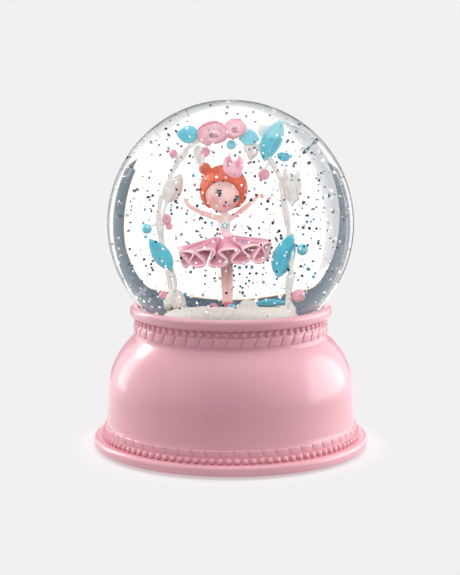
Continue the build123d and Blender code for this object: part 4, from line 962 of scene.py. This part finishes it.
for row in frame["record"]["subparts"]:
    finish = slot_finish.get(row["material_slot"])
    node = frame["nodes"][row["node"]]
    if finish and not node.hide_render:
        node.data.materials.clear()
        node.data.materials.append(finish)

# ------------------------------------------------------------------ floor, light and camera
pale = srgb(242, 240, 241)

floor_mesh = bmesh.new()
bmesh.ops.create_grid(floor_mesh, x_segments=1, y_segments=1, size=30.0)
floor_data = bpy.data.meshes.new("floor")
floor_mesh.to_mesh(floor_data)
floor_mesh.free()
floor = bpy.data.objects.new("floor", floor_data)
bpy.context.scene.collection.objects.link(floor)

floor_paint = bpy.data.materials.new("floor_paint")
floor_paint.use_nodes = True
nodes, links = floor_paint.node_tree.nodes, floor_paint.node_tree.links
nodes.remove(nodes["Principled BSDF"])
matt = nodes.new("ShaderNodeBsdfDiffuse")
matt.inputs["Color"].default_value = pale
seen_glow = nodes.new("ShaderNodeEmission")
seen_glow.inputs["Color"].default_value = pale
bounce_glow = nodes.new("ShaderNodeEmission")
place = nodes.new("ShaderNodeTexCoord")
distance = nodes.new("ShaderNodeVectorMath")
distance.operation = "LENGTH"
links.new(place.outputs["Object"], distance.inputs[0])
fade = nodes.new("ShaderNodeMapRange")
fade.inputs["From Min"].default_value = 0.055
fade.inputs["From Max"].default_value = 0.066
fade.inputs["To Min"].default_value = 0.45
fade.inputs["To Max"].default_value = 1.0
links.new(distance.outputs["Value"], fade.inputs["Value"])
mixed = nodes.new("ShaderNodeMixShader")
links.new(fade.outputs["Result"], mixed.inputs["Fac"])
links.new(matt.outputs["BSDF"], mixed.inputs[1])
links.new(seen_glow.outputs["Emission"], mixed.inputs[2])
where = nodes.new("ShaderNodeSeparateXYZ")
links.new(place.outputs["Object"], where.inputs["Vector"])
depth = nodes.new("ShaderNodeMapRange")
depth.inputs["From Min"].default_value = -0.15
depth.inputs["From Max"].default_value = 0.1
depth.inputs["To Min"].default_value = 0.3
depth.inputs["To Max"].default_value = 1.15
links.new(where.outputs["Y"], depth.inputs["Value"])
links.new(depth.outputs["Result"], bounce_glow.inputs["Strength"])
floor_ray = nodes.new("ShaderNodeLightPath")
floor_chosen = nodes.new("ShaderNodeMixShader")
links.new(floor_ray.outputs["Is Camera Ray"], floor_chosen.inputs["Fac"])
links.new(bounce_glow.outputs["Emission"], floor_chosen.inputs[1])
links.new(mixed.outputs["Shader"], floor_chosen.inputs[2])
links.new(floor_chosen.outputs["Shader"], nodes["Material Output"].inputs["Surface"])
floor_data.materials.append(floor_paint)


round_off_from = 14.0
edge_rise, edge_fall, edge_power = 0.00005, 0.000166, 2.56
card_radius = 0.22
floor_card_share = 0.9
light_exit_back = 0.047
light_exit_run = 0.62


def backdrop_edge(swing):
    """Height over a panel's level edge, at so many degrees round, of the white card's rounded top."""
    past = max(0.0, abs(swing) - round_off_from)
    return edge_rise * swing * swing - edge_fall * past ** edge_power


def panel(name, start, end, low, high, colour, rounded="", exit_side=None):
    """A curved card behind the ball that only its glass and the gloss of the pieces can see.

    start and end are degrees round from straight behind towards +X. rounded names the edges, low or
    high, that follow the top of the white card. A card with an exit_side lies on the floor,
    along the way the light takes out of the ball."""
    bm = bmesh.new()
    first = math.radians(90 - start)
    inner = card_radius if exit_side is None else card_radius * floor_card_share
    foot = bm.verts.new((inner * math.cos(first), inner * math.sin(first), low))
    head = bm.verts.new((card_radius * math.cos(first), card_radius * math.sin(first), high))
    edge = bm.edges.new((foot, head))
    bmesh.ops.spin(bm, geom=[foot, head, edge], axis=(0, 0, 1), cent=(0, 0, 0), steps=60,
                   angle=math.radians(start - end))
    if exit_side is not None:
        for vert in bm.verts:
            if vert.co.xy.length < (inner + card_radius) / 2:
                outer = vert.co.xy / floor_card_share
                vert.co.xy = Vector((exit_side, light_exit_back)).lerp(outer, light_exit_run)
    for vert in bm.verts:
        if ("low" if vert.co.z < (low + high) / 2 else "high") in rounded:
            vert.co.z += backdrop_edge(90 - math.degrees(math.atan2(vert.co.y, vert.co.x)))
    mesh = bpy.data.meshes.new(name)
    bm.to_mesh(mesh)
    bm.free()
    paint = bpy.data.materials.new(name)
    paint.use_nodes = True
    tree = paint.node_tree
    tree.nodes.remove(tree.nodes["Principled BSDF"])
    lit = tree.nodes.new("ShaderNodeEmission")
    lit.inputs["Color"].default_value = colour
    lit.inputs["Strength"].default_value = 1.0
    tree.links.new(lit.outputs["Emission"], tree.nodes["Material Output"].inputs["Surface"])
    mesh.materials.append(paint)
    card = bpy.data.objects.new(name, mesh)
    bpy.context.scene.collection.objects.link(card)
    card.visible_camera = False
    card.visible_diffuse = False
    card.visible_shadow = False


slate = srgb(66, 91, 108)
gold = srgb(252, 206, 150)
panel("right_slate_panel", 23.0, 35.5, 0.0, 0.3, slate)
panel("right_panel_edge", 22.6, 23.0, 0.0, 0.09, gold)
panel("left_slate_panel", -40.0, -33.5, 0.0, 0.3, slate)
for number in range(5):
    shade = srgb(236 - 8 * number, 237 - 8 * number, 239 - 7 * number)
    swing = -16.0 - 1.2 * number
    last = -31.0 if number == 4 else swing - 1.2
    panel("left_grey_panel_%d" % number, last, swing, 0.0, 0.1, shade)
    panel("left_grey_card_%d" % number, last, swing, 0.002, 0.002, shade, exit_side=0.0185)
panel("upper_slate_panel", -33.0, 23.0, 0.104, 0.3, slate, rounded="low")
panel("upper_panel_edge", -23.0, 22.6, 0.1032, 0.104, gold, rounded="low high")

# The world is a pale backdrop to the camera. To the glass, the gloss and the shading it is a light
# tent with bright sides and back and a dim front.
world = bpy.data.worlds.new("studio")
bpy.context.scene.world = world
world.use_nodes = True
nodes, links = world.node_tree.nodes, world.node_tree.links
backdrop = nodes["Background"]
backdrop.inputs["Color"].default_value = pale


def tent_value(kind, first, second=None, *, low=None, high=None):
    """One step of arithmetic on the direction of a ray in the light tent."""
    if kind == "RANGE":
        node = nodes.new("ShaderNodeMapRange")
        node.interpolation_type = "SMOOTHSTEP"
        node.inputs["From Min"].default_value = low
        node.inputs["From Max"].default_value = high
        links.new(first, node.inputs["Value"])
        return node.outputs["Result"]
    node = nodes.new("ShaderNodeMath")
    node.operation = kind
    for socket, value in zip(node.inputs, (first, second)):
        if value is None:
            continue
        if isinstance(value, (int, float)):
            socket.default_value = value
        else:
            links.new(value, socket)
    return node.outputs["Value"]


def tent_mix(factor, base, top):
    """Blend two tent colours by a factor."""
    node = nodes.new("ShaderNodeMix")
    node.data_type = "RGBA"
    links.new(factor, node.inputs["Factor"])
    for socket, value in ((node.inputs["A"], base), (node.inputs["B"], top)):
        if isinstance(value, tuple):
            socket.default_value = value
        else:
            links.new(value, socket)
    return node.outputs["Result"]


direction = nodes.new("ShaderNodeTexCoord")
split = nodes.new("ShaderNodeSeparateXYZ")
links.new(direction.outputs["Generated"], split.inputs["Vector"])
side_way, back_way = split.outputs["X"], split.outputs["Y"]
facing = tent_value("SUBTRACT", tent_value("MULTIPLY", side_way, 0.16), back_way)
front_zone = tent_value("RANGE", facing, low=0.35, high=0.95)
left_zone = tent_value("RANGE", tent_value("MULTIPLY", side_way, -1.0), low=0.3, high=0.9)
tent = tent_mix(left_zone, (1.2, 1.2, 1.2, 1.0), (0.95, 0.95, 0.95, 1.0))
tent = tent_mix(front_zone, tent, (0.22, 0.22, 0.23, 1.0))
tent_light = nodes.new("ShaderNodeBackground")
links.new(tent, tent_light.inputs["Color"])
tent_light.inputs["Strength"].default_value = 1.0
ray = nodes.new("ShaderNodeLightPath")
chosen = nodes.new("ShaderNodeMixShader")
links.new(ray.outputs["Is Camera Ray"], chosen.inputs["Fac"])
links.new(tent_light.outputs["Background"], chosen.inputs[1])
links.new(backdrop.outputs["Background"], chosen.inputs[2])
links.new(chosen.outputs["Shader"], nodes["World Output"].inputs["Surface"])


def softbox(name, place, aim, width, height, watts):
    """An oval studio lamp pointed at a place."""
    lamp = bpy.data.lights.new(name, "AREA")
    lamp.shape = "ELLIPSE"
    lamp.size = width
    lamp.size_y = height
    lamp.energy = watts
    holder = bpy.data.objects.new(name, lamp)
    holder.location = place
    holder.rotation_euler = (Vector(aim) - Vector(place)).to_track_quat("-Z", "Y").to_euler()
    bpy.context.scene.collection.objects.link(holder)
    return holder


middle = Vector((0, 0, globe_centre * MM))
softbox("left_softbox", (-0.64, 0.5, 0.52), middle, 0.22, 0.22, 1.7)
left_panel = softbox("left_panel", (-0.6, 0.36, 0.1), middle, 0.22, 0.7, 1.3)
right_panel = softbox("right_panel", (0.6, 0.14, 0.0), middle, 0.7, 1.1, 5.6)
softbox("top_softbox", (0.0, 0.05, 0.9), middle, 0.6, 0.6, 1.4)

# The two side panels would lay a grey veil on the edges of the ball, so the glass is left out of them.
all_but_glass = bpy.data.collections.new("all_but_glass")
for piece in bpy.context.scene.objects:
    if piece.type == "MESH" and piece != globe:
        all_but_glass.objects.link(piece)
for lamp in (left_panel, right_panel):
    lamp.light_linking.receiver_collection = all_but_glass

# The full ball gathers light on the figure inside it, so the resin gets a fill lamp of its own.
inside_ball = bpy.data.collections.new("inside_ball")
for name in scenery_names:
    inside_ball.objects.link(bpy.data.objects[name])
ball_fill = softbox("ball_fill", (-0.12, -0.55, 0.34), middle, 0.5, 0.4, 3.4)
ball_fill.light_linking.receiver_collection = inside_ball

camera_place = (-0.0003, -0.650, 0.167)
camera_dip = 0.155
half_view, view_distance = 287.5, 1611.9
camera_data = bpy.data.cameras.new("camera")
camera = bpy.data.objects.new("camera", camera_data)
bpy.context.scene.collection.objects.link(camera)
camera.location = camera_place
camera.rotation_euler = (math.pi / 2 - camera_dip, 0, 0)
camera_data.sensor_fit = "VERTICAL"
camera_data.angle = 2 * math.atan(half_view / view_distance)
camera_data.clip_start = 0.01
camera_data.clip_end = 50.0
bpy.context.scene.camera = camera
bpy.context.scene.view_settings.view_transform = "Standard"
